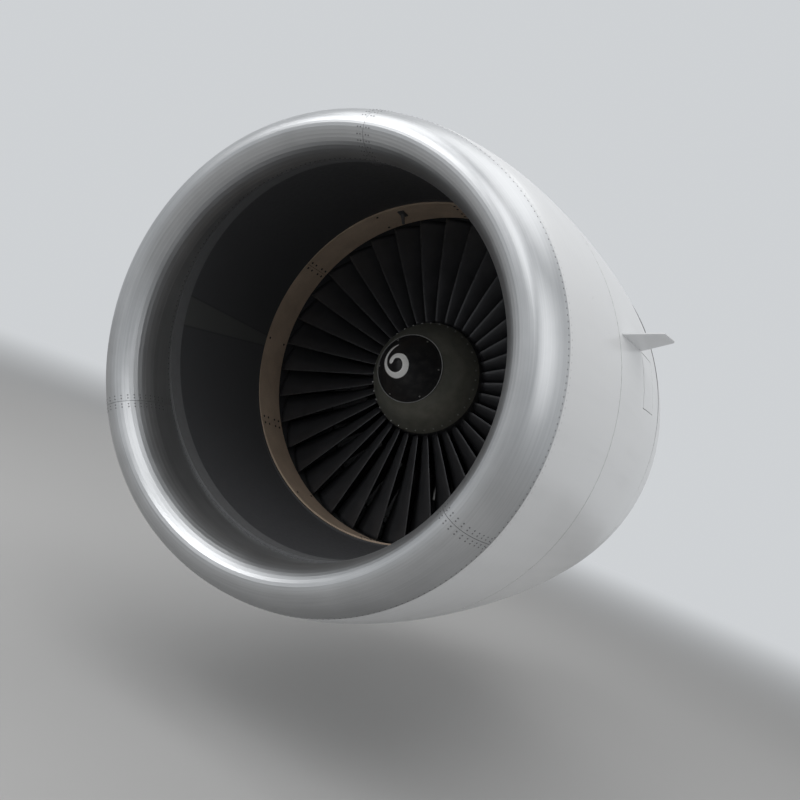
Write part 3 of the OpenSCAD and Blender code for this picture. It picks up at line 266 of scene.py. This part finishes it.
def paint_color(f):
    """White paint with faint grime drawn aft by the air."""
    clock, _, y = f.polar(f.placed())
    streaks = f.noise(f.combine(f.times(clock, 0.12), f.times(y, 0.5), 0.0), 1.6, 2.0, 0.5)
    patches = f.noise(f.coord, 1.1, 2.0)
    soil = f.times(f.spread(streaks, 0.4, 0.75, smooth=True), f.spread(patches, 0.3, 0.75, smooth=True))
    return f.mix(soil, PAINT, scaled(PAINT, 0.90))


def cowl_paint():
    f = Finish("cowl_paint", PAINT, rough=0.3)
    f.feed("Base Color", paint_color(f))
    f.feed("Roughness", f.spread(f.noise(f.coord, 3.0, 2.0), 0.3, 0.7, 0.20, 0.25))
    return f.mat


def cowl_door():
    """Painted outside, primed and matt inside."""
    f = Finish("cowl_door", PAINT, rough=0.3)
    out = f.facing_out(f.placed(DROOP, CROSS))
    primer = f.mix(f.noise(f.coord, 22.0), (0.20, 0.23, 0.20), (0.27, 0.29, 0.25))
    f.feed("Base Color", f.mix(out, primer, paint_color(f)))
    f.feed("Roughness", f.spread(out, 0.0, 1.0, 0.6, 0.22))
    return f.mat


def reverser_mix():
    """White skin outside, a fan duct lining darkened to near-black as painted shade, bare metal on the core
    cowl.
    """
    f = Finish("reverser_mix", PAINT, rough=0.3)
    place = f.placed()
    out = f.facing_out(place)
    _, radius, y = f.polar(place)
    # Painted shade: the lining's near-black colour stands in for the shade deep in the fan duct
    lining = f.mix(f.noise(f.coord, 30.0, 6.0), DUCT_LINING_SHADE_DARK, DUCT_LINING_SHADE_LIGHT)
    heat = f.spread(y, 1.3, 2.3)
    bare = f.mix(f.noise(f.stretched((3.0, 0.8, 3.0)), 3.0, 5.0), (0.36, 0.35, 0.33), (0.50, 0.49, 0.47))
    bare = f.mix(f.times(heat, 0.5), bare, (0.26, 0.21, 0.16))
    core = f.spread(radius, 0.615, 0.605)
    skin = f.times(out, f.spread(radius, 0.80, 0.81))
    f.feed("Base Color", f.mix(skin, f.mix(core, lining, bare), paint_color(f)))
    f.feed("Metallic", f.times(core, 0.9))
    # The lining is the roughest of the three
    f.feed("Roughness", f.less(f.spread(skin, 0.0, 1.0, 0.85, 0.24), f.times(core, 0.43)))
    return f.mat


def metal_with_duct_shade():
    """Bare metal outside, and inside, facing the axis, a near-black tone that is painted shade of the fan
    duct.
    """
    f = Finish("metal_with_duct_shade", (0.36, 0.37, 0.38), rough=0.45)
    out = f.facing_out(f.placed())
    # Painted shade: surfaces facing the axis take the duct's near-black tones in place of lit metal
    lining = f.mix(f.noise(f.coord, 30.0, 6.0), DUCT_LINING_SHADE_DARK, DUCT_LINING_SHADE_LIGHT)
    cast = f.mix(f.spread(f.noise(f.coord, 12.0, 5.0), 0.3, 0.7), (0.30, 0.31, 0.32), (0.42, 0.43, 0.44))
    f.feed("Base Color", f.mix(out, lining, cast))
    f.feed("Metallic", f.times(out, 0.9))
    f.feed("Roughness", f.spread(out, 0.0, 1.0, 0.85, 0.45))
    f.set("Specular IOR Level", 0.1)
    f.bump(f.noise(f.coord, 170.0, 3.0), 0.1, 0.0005)
    return f.mat


def lip_metal():
    """Satin aluminium, with the fine lines of turning and polishing round the lip."""
    f = Finish("lip_metal", (0.45, 0.45, 0.46), rough=0.36, metallic=0.88)
    clock, radius, y = f.polar(f.placed(DROOP, CROSS))
    lines = f.noise(f.combine(f.times(clock, 0.03), f.times(radius, 150.0), f.times(y, 150.0)), 1.0, 3.0, 0.6)
    cloud = f.noise(f.coord, 3.2, 4.0)
    tone = f.math("ADD", f.times(lines, 0.45), f.times(cloud, 0.55))
    f.feed("Base Color", f.mix(f.spread(tone, 0.35, 0.65), (0.40, 0.407, 0.415), (0.50, 0.507, 0.515)))
    f.feed("Roughness", f.spread(tone, 0.3, 0.7, 0.33, 0.42))
    f.bump(lines, 0.06, 0.0004)
    return f.mat


def intake_liner():
    """Near-black acoustic lining, a lighter band behind the lip, and a splice between its three panels."""
    f = Finish("intake_liner", (0.03, 0.03, 0.03), rough=0.55)
    clock, _, y = f.polar(f.placed(BARREL_TILT, FLANGE))
    s = f.less(y, FLANGE.y)
    band = f.spread(s, -0.712, -0.716)
    # The splices lie 120 degrees apart, turn a little with the station and narrow aft
    turned = f.math("ADD", clock, f.times(s, 9.6))
    third = f.math("MODULO", f.math("ADD", turned, 518.6), 120.0)
    offset = f.math("ABSOLUTE", f.less(third, 60.0))
    half = f.spread(s, -0.72, 0.0, 4.6, 1.6)
    past = f.less(offset, half)
    splice = f.spread(past, 0.12, -0.12)
    edge = f.spread(f.math("ABSOLUTE", f.less(past, 0.35)), 0.30, 0.18)
    grain = f.noise(f.coord, 55.0, 5.0)
    lining = f.mix(grain, (0.045, 0.046, 0.049), (0.066, 0.067, 0.071))
    strip = f.mix(grain, (0.060, 0.062, 0.061), (0.084, 0.087, 0.086))
    pale = f.mix(f.noise(f.coord, 26.0, 5.0), (0.100, 0.102, 0.105), (0.130, 0.132, 0.136))
    base = f.mix(splice, lining, strip)
    base = f.mix(f.times(edge, 0.6), base, (0.035, 0.035, 0.037))
    f.feed("Base Color", f.mix(band, base, pale))
    holes = f.nodes.new("ShaderNodeTexVoronoi")
    holes.inputs["Scale"].default_value = 240.0
    f.links.new(f.coord, holes.inputs["Vector"])
    f.feed("Roughness", f.spread(grain, 0.3, 0.7, 0.48, 0.62))
    f.bump(f.spread(holes.outputs["Distance"], 0.1, 0.3), 0.15, 0.0004)
    return f.mat


def panel_beige():
    f = Finish("panel_beige", (0.25, 0.21, 0.17), rough=0.55)
    fleck = f.noise(f.coord, 160.0, 3.0)
    cloud = f.noise(f.coord, 9.0, 5.0)
    base = f.mix(f.spread(cloud, 0.3, 0.7), (0.42, 0.325, 0.245), (0.55, 0.43, 0.33))
    f.feed("Base Color", f.mix(f.times(f.spread(fleck, 0.55, 0.75), 0.35), base, (0.20, 0.16, 0.125)))
    f.feed("Roughness", f.spread(cloud, 0.3, 0.7, 0.45, 0.62))
    f.bump(fleck, 0.12, 0.0005)
    return f.mat


def blade_metal():
    """Satin face, finely lined along the span, its near-black tone painted shade of the intake's dark inside.
    """
    f = Finish("blade_metal", (0.04, 0.04, 0.044), rough=0.45, metallic=0.3)
    clock, radius, y = f.polar(f.placed())
    lines = f.noise(f.combine(f.times(clock, 7.0), f.times(radius, 5.0), f.times(y, 170.0)), 1.0, 4.0, 0.6)
    cloud = f.noise(f.coord, 11.0, 4.0)
    tone = f.math("ADD", f.times(lines, 0.4), f.times(cloud, 0.6))
    # Painted shade: the blade metal would read grey in open light, and its base is held near-black
    f.feed("Base Color", f.mix(f.spread(tone, 0.3, 0.7), (0.040, 0.041, 0.045), (0.066, 0.067, 0.072)))
    f.feed("Roughness", f.spread(tone, 0.3, 0.7, 0.36, 0.5))
    f.bump(lines, 0.05, 0.0003)
    return f.mat


def blade_edge():
    # A lighter strip along the leading edge, held dark like the blade faces as painted shade
    f = Finish("blade_edge", (0.1, 0.1, 0.105), rough=0.4, metallic=0.5)
    wear = f.noise(f.coord, 60.0, 5.0)
    f.feed("Base Color", f.mix(f.spread(wear, 0.3, 0.7), (0.055, 0.056, 0.060), (0.095, 0.096, 0.101)))
    f.feed("Roughness", f.spread(wear, 0.3, 0.7, 0.3, 0.45))
    f.bump(wear, 0.08, 0.0003)
    return f.mat


def cone_black():
    f = Finish("cone_black", (0.012, 0.012, 0.013), rough=0.38)
    dust = f.noise(f.coord, 34.0, 6.0)
    f.feed("Base Color", f.mix(f.spread(dust, 0.45, 0.8), (0.015, 0.015, 0.016), (0.036, 0.035, 0.034)))
    f.feed("Roughness", f.spread(dust, 0.3, 0.7, 0.3, 0.46))
    f.bump(f.noise(f.coord, 500.0, 2.0), 0.06, 0.0003)
    return f.mat


def cone_green():
    f = Finish("cone_green", (0.06, 0.065, 0.055), rough=0.4, metallic=0.25)
    cloud = f.noise(f.coord, 14.0, 5.0)
    f.feed("Base Color", f.mix(f.spread(cloud, 0.3, 0.7), (0.170, 0.176, 0.152), (0.245, 0.248, 0.217)))
    f.feed("Roughness", f.spread(cloud, 0.3, 0.7, 0.30, 0.40))
    f.bump(f.noise(f.coord, 380.0, 2.0), 0.06, 0.0003)
    return f.mat


def spiral_white():
    f = Finish("spiral_white", (0.72, 0.72, 0.70), rough=0.45)
    chips = f.noise(f.coord, 130.0, 6.0, 0.65)
    f.feed("Base Color", f.mix(f.spread(chips, 0.62, 0.74), (0.94, 0.94, 0.92), (0.60, 0.60, 0.58)))
    f.feed("Roughness", f.spread(chips, 0.3, 0.7, 0.38, 0.55))
    return f.mat


def metal(name, low, high, rough, scale=18.0, metallic=0.9):
    """A machined or cast metal with a cloudy tone and a fine grain."""
    f = Finish(name, low, rough=rough, metallic=metallic)
    cloud = f.noise(f.coord, scale, 5.0)
    grain = f.noise(f.coord, scale * 14, 3.0)
    f.feed("Base Color", f.mix(f.spread(cloud, 0.3, 0.7), low, high))
    f.feed("Roughness", f.spread(cloud, 0.3, 0.7, rough - 0.06, rough + 0.08))
    f.bump(grain, 0.1, 0.0005)
    return f.mat


def heated(name, cool, hot, start, end):
    """Nickel alloy that is browner and bluer the further aft it lies."""
    f = Finish(name, cool, rough=0.4, metallic=1.0)
    _, _, y = f.polar(f.placed())
    cloud = f.noise(f.stretched((1.0, 0.35, 1.0)), 7.0, 5.0)
    heat = f.math("ADD", f.spread(y, start, end), f.times(f.less(cloud, 0.5), 0.7))
    blued = (0.17, 0.16, 0.18)
    f.feed("Base Color", f.ramp(heat, [(0.0, cool), (0.45, scaled(hot, 1.25)), (0.8, hot), (1.0, blued)]))
    f.feed("Roughness", f.spread(cloud, 0.3, 0.7, 0.34, 0.5))
    f.bump(f.noise(f.coord, 220.0, 3.0), 0.1, 0.0005)
    return f.mat


finishes = {
    "lip_metal": lip_metal(),
    "cowl_paint": cowl_paint(),
    "intake_liner": intake_liner(),
    "panel_beige": panel_beige(),
    "blade_metal": blade_metal(),
    "cone_black": cone_black(),
    "cone_green": cone_green(),
    "bright_steel": metal("bright_steel", (0.22, 0.22, 0.21), (0.32, 0.32, 0.31), 0.3, 40.0),
    "case_metal": metal("case_metal", (0.30, 0.31, 0.32), (0.42, 0.43, 0.44), 0.42, 12.0),
    "core_metal": heated("core_metal", (0.42, 0.40, 0.37), (0.27, 0.21, 0.16), 1.1, 2.9),
    "dark_metal": heated("dark_metal", (0.25, 0.24, 0.23), (0.20, 0.155, 0.12), 1.2, 2.9),
    "dark_fitting": metal("dark_fitting", (0.07, 0.07, 0.075), (0.12, 0.12, 0.125), 0.45, 30.0, 0.3),
    "vane_grey": metal("vane_grey", (0.040, 0.041, 0.043), (0.065, 0.066, 0.069), 0.45, 24.0, 0.4),
}
door_finish = cowl_door()
reverser_finish = reverser_mix()
finish_of = {p["node"]: finishes[p["material_slot"]] for p in frame["record"]["subparts"]}
for side in ("left", "right"):
    finish_of["fan_cowl_" + side] = door_finish
    finish_of["reverser_" + side] = reverser_finish
for number in range(1, 5):
    finish_of["reverser_door_%d" % number] = reverser_finish
# The fan case and fan frame are painted near-black inside, as shade of the fan duct
finish_of["fan_case"] = finish_of["fan_frame"] = metal_with_duct_shade()
finish_of["panel_screws"] = metal("screw_dark", (0.018, 0.018, 0.019), (0.04, 0.04, 0.042), 0.5, 60.0, 0.3)
finish_of["spinner_ring"] = metal("ring_steel", (0.08, 0.08, 0.078), (0.14, 0.14, 0.137), 0.32, 40.0, 0.8)
finish_of["spinner_bolts"] = metal("bolt_bright", (0.42, 0.42, 0.41), (0.60, 0.60, 0.59), 0.35, 60.0, 0.8)
for name, obj in nodes.items():
    for place in obj.material_slots:
        place.material = finish_of[name]


# PIECES


def add_piece(name, verts, faces, body, slot, *mats, smooth=True):
    """A mesh piece from points in the engine frame, which rides on a body."""
    mesh = bpy.data.meshes.new(name)
    mesh.from_pydata([tuple(v + HOME) for v in verts], [], faces)
    mesh.validate()
    for m in mats:
        mesh.materials.append(m)
    if smooth:
        mesh.shade_smooth()
    obj = link(bpy.data.objects.new(name, mesh))
    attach(obj, body)
    return obj


FAN_R = 0.8675
HUB_R = 0.291
BLADES = 36
# Root and tip values of a blade: chord, angle to the axis, thickness and camber
CHORD = (0.150, 0.205)
STAGGER = (18, 62)
THICKNESS = (0.018, 0.006)
CAMBER = (0.022, 0.004)
ROOT_MID_Y = 0.086
TIP_MID_Y = CHORD[1] * math.cos(math.radians(STAGGER[1])) / 2


def platform_r(y):
    """Radius of the cone between the blades' roots."""
    fwd_y, length, rise = -0.0037, 0.1937, 0.039
    return HUB_R + rise * (y - fwd_y) / length


def blade_section(s, ring):
    """Points round the section at share s of the span, wrapped on its own cylinder."""
    wrap = between(HUB_R, FAN_R, s)
    chord = between(*CHORD, s)
    turn = math.radians(between(*STAGGER, s ** 0.8))
    thick = between(*THICKNESS, s)
    camber = between(*CAMBER, s)
    mid = between(ROOT_MID_Y, TIP_MID_Y, s)
    root_gap = 0.0003
    points = []
    for side, t in ring:
        bulge = camber * 4 * t * (1 - t) + side * thick * 1.3 * math.sqrt(t) * (1 - t)
        run = chord * (t - 0.5)
        x = bulge * math.cos(turn) + run * math.sin(turn)
        y = mid - bulge * math.sin(turn) + run * math.cos(turn)
        r = between(platform_r(y) + root_gap, FAN_R, s)
        points.append(around(math.degrees(x / wrap), r, y))
    return points


def fan_blades():
    """All blades as one mesh, with a worn strip along each leading edge; faces and strip are toned dark as
    painted shade.
    """
    half, span = 14, 26
    edge_steps = 2
    ts = [(i / half) ** 1.6 for i in range(half + 1)]
    ring = [(-1, t) for t in ts] + [(1, t) for t in ts[-2:0:-1]]
    n = len(ring)
    rows = [blade_section(k / span, ring) for k in range(span + 1)]
    verts, faces, edge = [], [], []
    for b in range(BLADES):
        turn = Matrix.Rotation(math.radians(360 / BLADES * b), 3, "Y")
        base = len(verts)
        verts += [turn @ p for row in rows for p in row]
        for k in range(span):
            for i in range(n):
                j = (i + 1) % n
                a, c = base + k * n, base + (k + 1) * n
                faces.append((a + i, a + j, c + j, c + i))
                edge.append(max(ring[i][1], ring[j][1]) <= ts[edge_steps])
        for k in (0, span):
            row = [base + k * n + i for i in range(n)]
            faces.append(tuple(row if k else row[::-1]))
            edge.append(False)
    obj = add_piece("fan_blades_smooth", verts, faces, "low_pressure_rotor", "blade_metal",
                    finishes["blade_metal"], blade_edge())
    for face, is_edge in zip(obj.data.polygons, edge):
        face.material_index = 1 if is_edge else 0
        # The caps at root and tip are flat
        if len(face.vertices) > 4:
            face.use_smooth = False
    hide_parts("fan_blades")


CONE_TIP, CONE_END, CONE_R = -0.373, -0.217, 0.169
CONE_STEPS = 14
cone_stations = [between(CONE_TIP, CONE_END, (i / CONE_STEPS) ** 1.6) for i in range(CONE_STEPS + 1)]
cone_line = [(CONE_R * ((y - CONE_TIP) / (CONE_END - CONE_TIP)) ** 0.8, y) for y in cone_stations]


def cone_point(x, z, lift):
    """A point of the black cone seen from the front at (x, z), raised along the surface's normal."""
    r = math.hypot(x, z)
    for (r0, y0), (r1, y1) in zip(cone_line, cone_line[1:]):
        if r <= r1 or r1 == CONE_R:
            y = y0 + (y1 - y0) * (r - r0) / (r1 - r0)
            length = math.hypot(r1 - r0, y1 - y0)
            out, fore = (y1 - y0) / length, -(r1 - r0) / length
            spread = out / max(r, 1e-6)
            return Vector((x, y, z)) + Vector((x * spread, fore, z * spread)) * lift


def smooth_line(points, steps):
    """Points along a smooth curve through the given ones."""

    def blend(a, b, c, d, t):
        square = 2 * a - 5 * b + 4 * c - d
        cube = 3 * b - a - 3 * c + d
        return 0.5 * (2 * b + (c - a) * t + square * t * t + cube * t ** 3)

    result = []
    for i in range(len(points) - 1):
        near = [points[max(i - 1, 0)], points[i], points[i + 1], points[min(i + 2, len(points) - 1)]]
        for k in range(steps):
            result.append(tuple(blend(*values, k / steps) for values in zip(*near)))
    return result + [points[-1]]


def spiral():
    """The painted swirl on the front cone: a round head, an even stroke and a thin tail."""
    # Clock angle in degrees, radius and half width in metres
    path = [(-92, 0.0480, 0.0175), (-63, 0.0435, 0.0150), (-30, 0.0345, 0.0135), (15, 0.0305, 0.0128),
            (50, 0.0305, 0.0125), (97, 0.0368, 0.0125), (145, 0.0496, 0.0127), (180, 0.0615, 0.0127),
            (217, 0.0745, 0.0123), (250, 0.0925, 0.0120), (273, 0.1055, 0.0112), (297, 0.1125, 0.0085),
            (319, 0.1140, 0.0030)]
    line = smooth_line(path, 14)
    flat = [(r * math.sin(math.radians(c)), r * math.cos(math.radians(c)), w) for c, r, w in line]
    # A half disc closes the head
    x0, z0, w0 = flat[0]
    away = Vector((x0 - flat[1][0], z0 - flat[1][1])).normalized()
    head_steps = 8
    for k in range(1, head_steps + 1):
        a = math.radians(90 * k / head_steps)
        reach = w0 * math.sin(a)
        flat.insert(0, (x0 + away.x * reach, z0 + away.y * reach, w0 * math.cos(a) + 1e-5))
    across = 8
    edge_lift, face_lift = 0.0002, 0.0007
    verts, faces = [], []
    for i, (x, z, w) in enumerate(flat):
        a, b = flat[max(i - 1, 0)], flat[min(i + 1, len(flat) - 1)]
        side = Vector((b[1] - a[1], a[0] - b[0])).normalized()
        for j in range(across + 1):
            k = 2 * j / across - 1
            lift = edge_lift if j in (0, across) else face_lift
            verts.append(cone_point(x + side.x * w * k, z + side.y * w * k, lift))
    for i in range(len(flat) - 1):
        for j in range(across):
            a = i * (across + 1) + j
            faces.append((a, a + across + 1, a + across + 2, a + 1))
    add_piece("cone_spiral", verts, faces, "low_pressure_rotor", "cowl_paint", spiral_white())


LIP_LEN = 0.17
THROAT_Y, THROAT_R = -1.085, 0.813
# Clock angles of the lip's butt joints
LIP_JOINTS = (-3.5, 113.0, 237.5)


def lip_profile():
    """Radius and station round the lip's outer face, from its outer joint to its inner joint."""
    line = []
    for i in range(40, 0, -1):
        y = NOSE_Y + LIP_LEN * (i / 40) ** 2
        line.append((skin_r(y), y))
    half_width, half_length = NOSE_R - THROAT_R, THROAT_Y - NOSE_Y
    for i in range(31):
        a = math.radians(3 * i)
        line.append((NOSE_R - half_width * math.sin(a), THROAT_Y - half_length * math.cos(a)))
    for i in range(1, 8):
        line.append((THROAT_R + BARREL_SLOPE * 0.01 * i, THROAT_Y + 0.01 * i))
    return line


def along(line, step, start, end):
    """Places on a radius and station line, evenly spaced, with the outward normal of each."""
    places, run, want = [], 0.0, start
    total = sum(math.dist(a, b) for a, b in zip(line, line[1:]))
    for a, b in zip(line, line[1:]):
        d = math.dist(a, b)
        while want <= run + d and want <= total - end:
            t = (want - run) / d
            tangent = Vector((b[0] - a[0], b[1] - a[1])) / d
            places.append((a[0] + (b[0] - a[0]) * t, a[1] + (b[1] - a[1]) * t, -tangent.y, tangent.x))
            want += step
        run += d
    return places


def dots(name, places, radius, body, slot, mat, rise=0.0006, sides=10):
    """Low round heads, each a small disc with a rim, at (point, normal) places of the engine frame."""
    verts, faces = [], []
    for point, normal in places:
        side = normal.orthogonal().normalized()
        other = normal.cross(side)
        base = len(verts)
        for r, lift in ((radius, -0.0008), (radius, rise * 0.6), (radius * 0.8, rise)):
            for i in range(sides):
                a = 2 * math.pi * i / sides
                verts.append(point + (side * math.cos(a) + other * math.sin(a)) * r + normal * lift)
        for k in (0, 1):
            for i in range(sides):
                j = (i + 1) % sides
                faces.append((base + k * sides + i, base + k * sides + j,
                              base + (k + 1) * sides + j, base + (k + 1) * sides + i))
        faces.append(tuple(base + 2 * sides + i for i in range(sides)))
    add_piece(name, verts, faces, body, slot, mat, smooth=False)


def droop_place(clock, r, y, out, fore):
    """A place on the drooped nacelle, from clock angle, radius, station and the normal's two parts."""
    point = drooped(around(clock, r, y))
    normal = (drooped(around(clock, r + out, y + fore)) - point).normalized()
    return point, normal


def skin_place(clock, y):
    """A place on the nacelle's skin, with its normal."""
    step = 0.001
    slope = (skin_r(y + step) - skin_r(y - step)) / (2 * step)
    return droop_place(clock, skin_r(y), y, 1.0, -slope)


def skin_row(y, count):
    """Places spaced evenly round the nacelle at one station."""
    return [skin_place((i + 0.5) * 360 / count, y) for i in range(count)]


def inner_row(count):
    """Places just ahead of the lip's inner joint, which lies square to the barrel's axis."""
    y = BARREL_Y - 0.011
    places = []
    for i in range(count):
        clock = (i + 0.5) * 360 / count
        r = INNER_JOINT_R
        for _ in range(4):
            p = undrooped(on_barrel(around(clock, r, y)))
            r *= (INNER_JOINT_R + BARREL_SLOPE * (p.y - INNER_JOINT_Y)) / math.hypot(p.x, p.z)
        point = on_barrel(around(clock, r - 0.0004, y))
        places.append((point, (Vector((0.0, point.y, -0.1)) - point).normalized()))
    return places


def lip_rivets(mat):
    """Rivets ahead of the outer and inner joints, and two rows on each side of the three butt joints."""
    outer_y, outer_count, inner_count = -1.079, 264, 216
    places = skin_row(outer_y, outer_count) + inner_row(inner_count)
    line = lip_profile()
    pitch = 0.027
    for joint in LIP_JOINTS:
        for offset in (-0.0255, -0.0125, 0.0125, 0.0255):
            for r, y, out, fore in along(line, pitch, 0.02, 0.012):
                point, normal = droop_place(joint + math.degrees(offset / r), r, y, out, fore)
                # None stands proud of the lip's foremost point
                if point.y + HOME.y > cad_box[0][1] + 0.001:
                    places.append((point, normal))
    dots("lip_rivets", places, 0.0032, "engine", "lip_metal", mat, rise=0.0007)


def cowl_fasteners(mat):
    """Flush screws beside the joints of the outer barrel and round each fan cowl."""
    barrel = skin_row(-1.055, 240) + skin_row(-0.497, 150)
    # Three single screws stand apart from the rows
    barrel += [skin_place(57, -0.80), skin_place(63, -0.65), skin_place(96, -0.51)]
    dots("barrel_fasteners", barrel, 0.003, "engine", "cowl_paint", mat, rise=0.0003, sides=8)
    fwd_y, aft_y, count = -0.455, 0.615, 34
    top_clock, bottom_clock = 9.6, 176.5
    for side, body in ((1, "left_fan_cowl"), (-1, "right_fan_cowl")):
        places = []
        for i in range(count):
            y = between(fwd_y, aft_y, i / (count - 1))
            places.append(skin_place(side * bottom_clock, y))
            places.append(skin_place(side * top_clock, y))
        for k in range(2, count):
            clock = between(top_clock, bottom_clock, k / count)
            for y in (fwd_y - 0.007, aft_y + 0.007):
                places.append(skin_place(side * clock, y))
        dots("cowl_fasteners_" + body, places, 0.0035, body, "cowl_paint", mat, rise=0.0003, sides=8)


fan_blades()
spiral()
rivet_mat = metal("rivet_grey", (0.16, 0.16, 0.165), (0.24, 0.24, 0.245), 0.42, 60.0, 0.8)
screw_mat = metal("screw_grey", (0.52, 0.52, 0.53), (0.62, 0.62, 0.63), 0.4, 60.0, 0.2)
lip_rivets(rivet_mat)
cowl_fasteners(screw_mat)


# CAMERA, FLOOR AND LIGHT

BACKDROP = (0.62, 0.64, 0.66)
FLOOR_Z = -1.75 + HOME.z
MIDDLE = (0.0, -0.8, -1.0)


def photo_camera():
    """Ahead of the engine, to its left and a little below the axis, and rolled to its right."""
    eye = Vector((1.7977, -4.5497, -1.2484))
    back = Vector((0.427, -0.9038, -0.0291)).normalized()
    rolled_up = Vector((-0.3299, -0.1856, 0.9256))
    across = rolled_up.cross(back).normalized()
    upward = back.cross(across)
    camera = link(bpy.data.objects.new("camera", bpy.data.cameras.new("camera")))
    camera.data.lens = 38.25
    camera.data.sensor_width = 36.0
    camera.data.clip_end = 200.0
    camera.matrix_world = Matrix((
        (across.x, upward.x, back.x, eye.x),
        (across.y, upward.y, back.y, eye.y),
        (across.z, upward.z, back.z, eye.z),
        (0.0, 0.0, 0.0, 1.0)))
    bpy.context.scene.camera = camera


def floor_finish():
    """Pale and matt near the part, and fading to the backdrop's colour far from it."""
    mat = bpy.data.materials.new("floor_pale")
    mat.use_nodes = True
    tree_nodes, links = mat.node_tree.nodes, mat.node_tree.links
    shader = tree_nodes["Principled BSDF"]
    shader.inputs["Base Color"].default_value = (0.45, 0.45, 0.448, 1.0)
    shader.inputs["Roughness"].default_value = 0.9
    glow = tree_nodes.new("ShaderNodeEmission")
    glow.inputs["Color"].default_value = (*BACKDROP, 1.0)
    place = tree_nodes.new("ShaderNodeTexCoord")
    length = tree_nodes.new("ShaderNodeVectorMath")
    length.operation = "LENGTH"
    links.new(place.outputs["Object"], length.inputs[0])
    fade = tree_nodes.new("ShaderNodeMapRange")
    fade.interpolation_type = "SMOOTHSTEP"
    links.new(length.outputs["Value"], fade.inputs["Value"])
    fade.inputs["From Min"].default_value = 5.0
    fade.inputs["From Max"].default_value = 20.0
    blend = tree_nodes.new("ShaderNodeMixShader")
    links.new(fade.outputs["Result"], blend.inputs["Fac"])
    links.new(shader.outputs[0], blend.inputs[1])
    links.new(glow.outputs[0], blend.inputs[2])
    links.new(blend.outputs[0], tree_nodes["Material Output"].inputs["Surface"])
    return mat


def pale_floor():
    """A round floor, in rings that widen outwards."""
    sides = 48
    verts = [(0.0, 0.0, 0.0)]
    faces = []
    for k, r in enumerate((2.0, 4.0, 8.0, 16.0, 32.0, 80.0)):
        for i in range(sides):
            a = 2 * math.pi * i / sides
            verts.append((r * math.cos(a), r * math.sin(a), 0.0))
            j = (i + 1) % sides
            low, high = 1 + (k - 1) * sides, 1 + k * sides
            if k == 0:
                faces.append((0, high + i, high + j))
            else:
                faces.append((low + i, high + i, high + j, low + j))
    mesh = bpy.data.meshes.new("floor")
    mesh.from_pydata(verts, [], faces)
    mesh.materials.append(floor_finish())
    floor = link(bpy.data.objects.new("floor", mesh))
    floor.location = (0.0, 0.3, FLOOR_Z)


def area_light(name, place, target, size, power):
    data = bpy.data.lights.new(name, "AREA")
    data.size = size
    data.energy = power
    obj = link(bpy.data.objects.new(name, data))
    obj.location = place
    obj.rotation_euler = (Vector(target) - Vector(place)).to_track_quat("-Z", "Y").to_euler()


def studio_world():
    """Even ambient light, while the view and its reflections show the backdrop's colour."""
    world = bpy.data.worlds.new("studio")
    bpy.context.scene.world = world
    world.use_nodes = True
    tree_nodes, links = world.node_tree.nodes, world.node_tree.links
    ambient = tree_nodes["Background"]
    ambient.inputs["Color"].default_value = (1.0, 1.0, 1.0, 1.0)
    ambient.inputs["Strength"].default_value = 0.30
    shown = tree_nodes.new("ShaderNodeBackground")
    shown.inputs["Color"].default_value = (*BACKDROP, 1.0)
    rays = tree_nodes.new("ShaderNodeLightPath")
    seen = rays.outputs["Is Camera Ray"]
    for name in ("Is Glossy Ray", "Is Transmission Ray"):
        either = tree_nodes.new("ShaderNodeMath")
        either.operation = "MAXIMUM"
        links.new(seen, either.inputs[0])
        links.new(rays.outputs[name], either.inputs[1])
        seen = either.outputs[0]
    pick = tree_nodes.new("ShaderNodeMixShader")
    links.new(seen, pick.inputs["Fac"])
    links.new(ambient.outputs[0], pick.inputs[1])
    links.new(shown.outputs[0], pick.inputs[2])
    links.new(pick.outputs[0], tree_nodes["World Output"].inputs["Surface"])


photo_camera()
pale_floor()
area_light("key", (2.5, -6.5, 5.5), MIDDLE, 6.0, 185.0)
area_light("front", (-4.0, -7.6, 4.0), MIDDLE, 4.5, 270.0)
area_light("side", (7.5, -1.0, 3.0), MIDDLE, 6.0, 130.0)
area_light("sky", (-3.0, -3.0, 6.0), (0.0, -1.0, -1.9), 4.0, 120.0)
area_light("top", (0.5, 1.5, 6.5), (0.0, 0.3, -1.0), 6.0, 170.0)
area_light("rear", (-6.0, 5.5, 2.0), (0.0, 1.0, -1.0), 4.0, 60.0)
studio_world()
bpy.context.scene.view_settings.view_transform = "Standard"
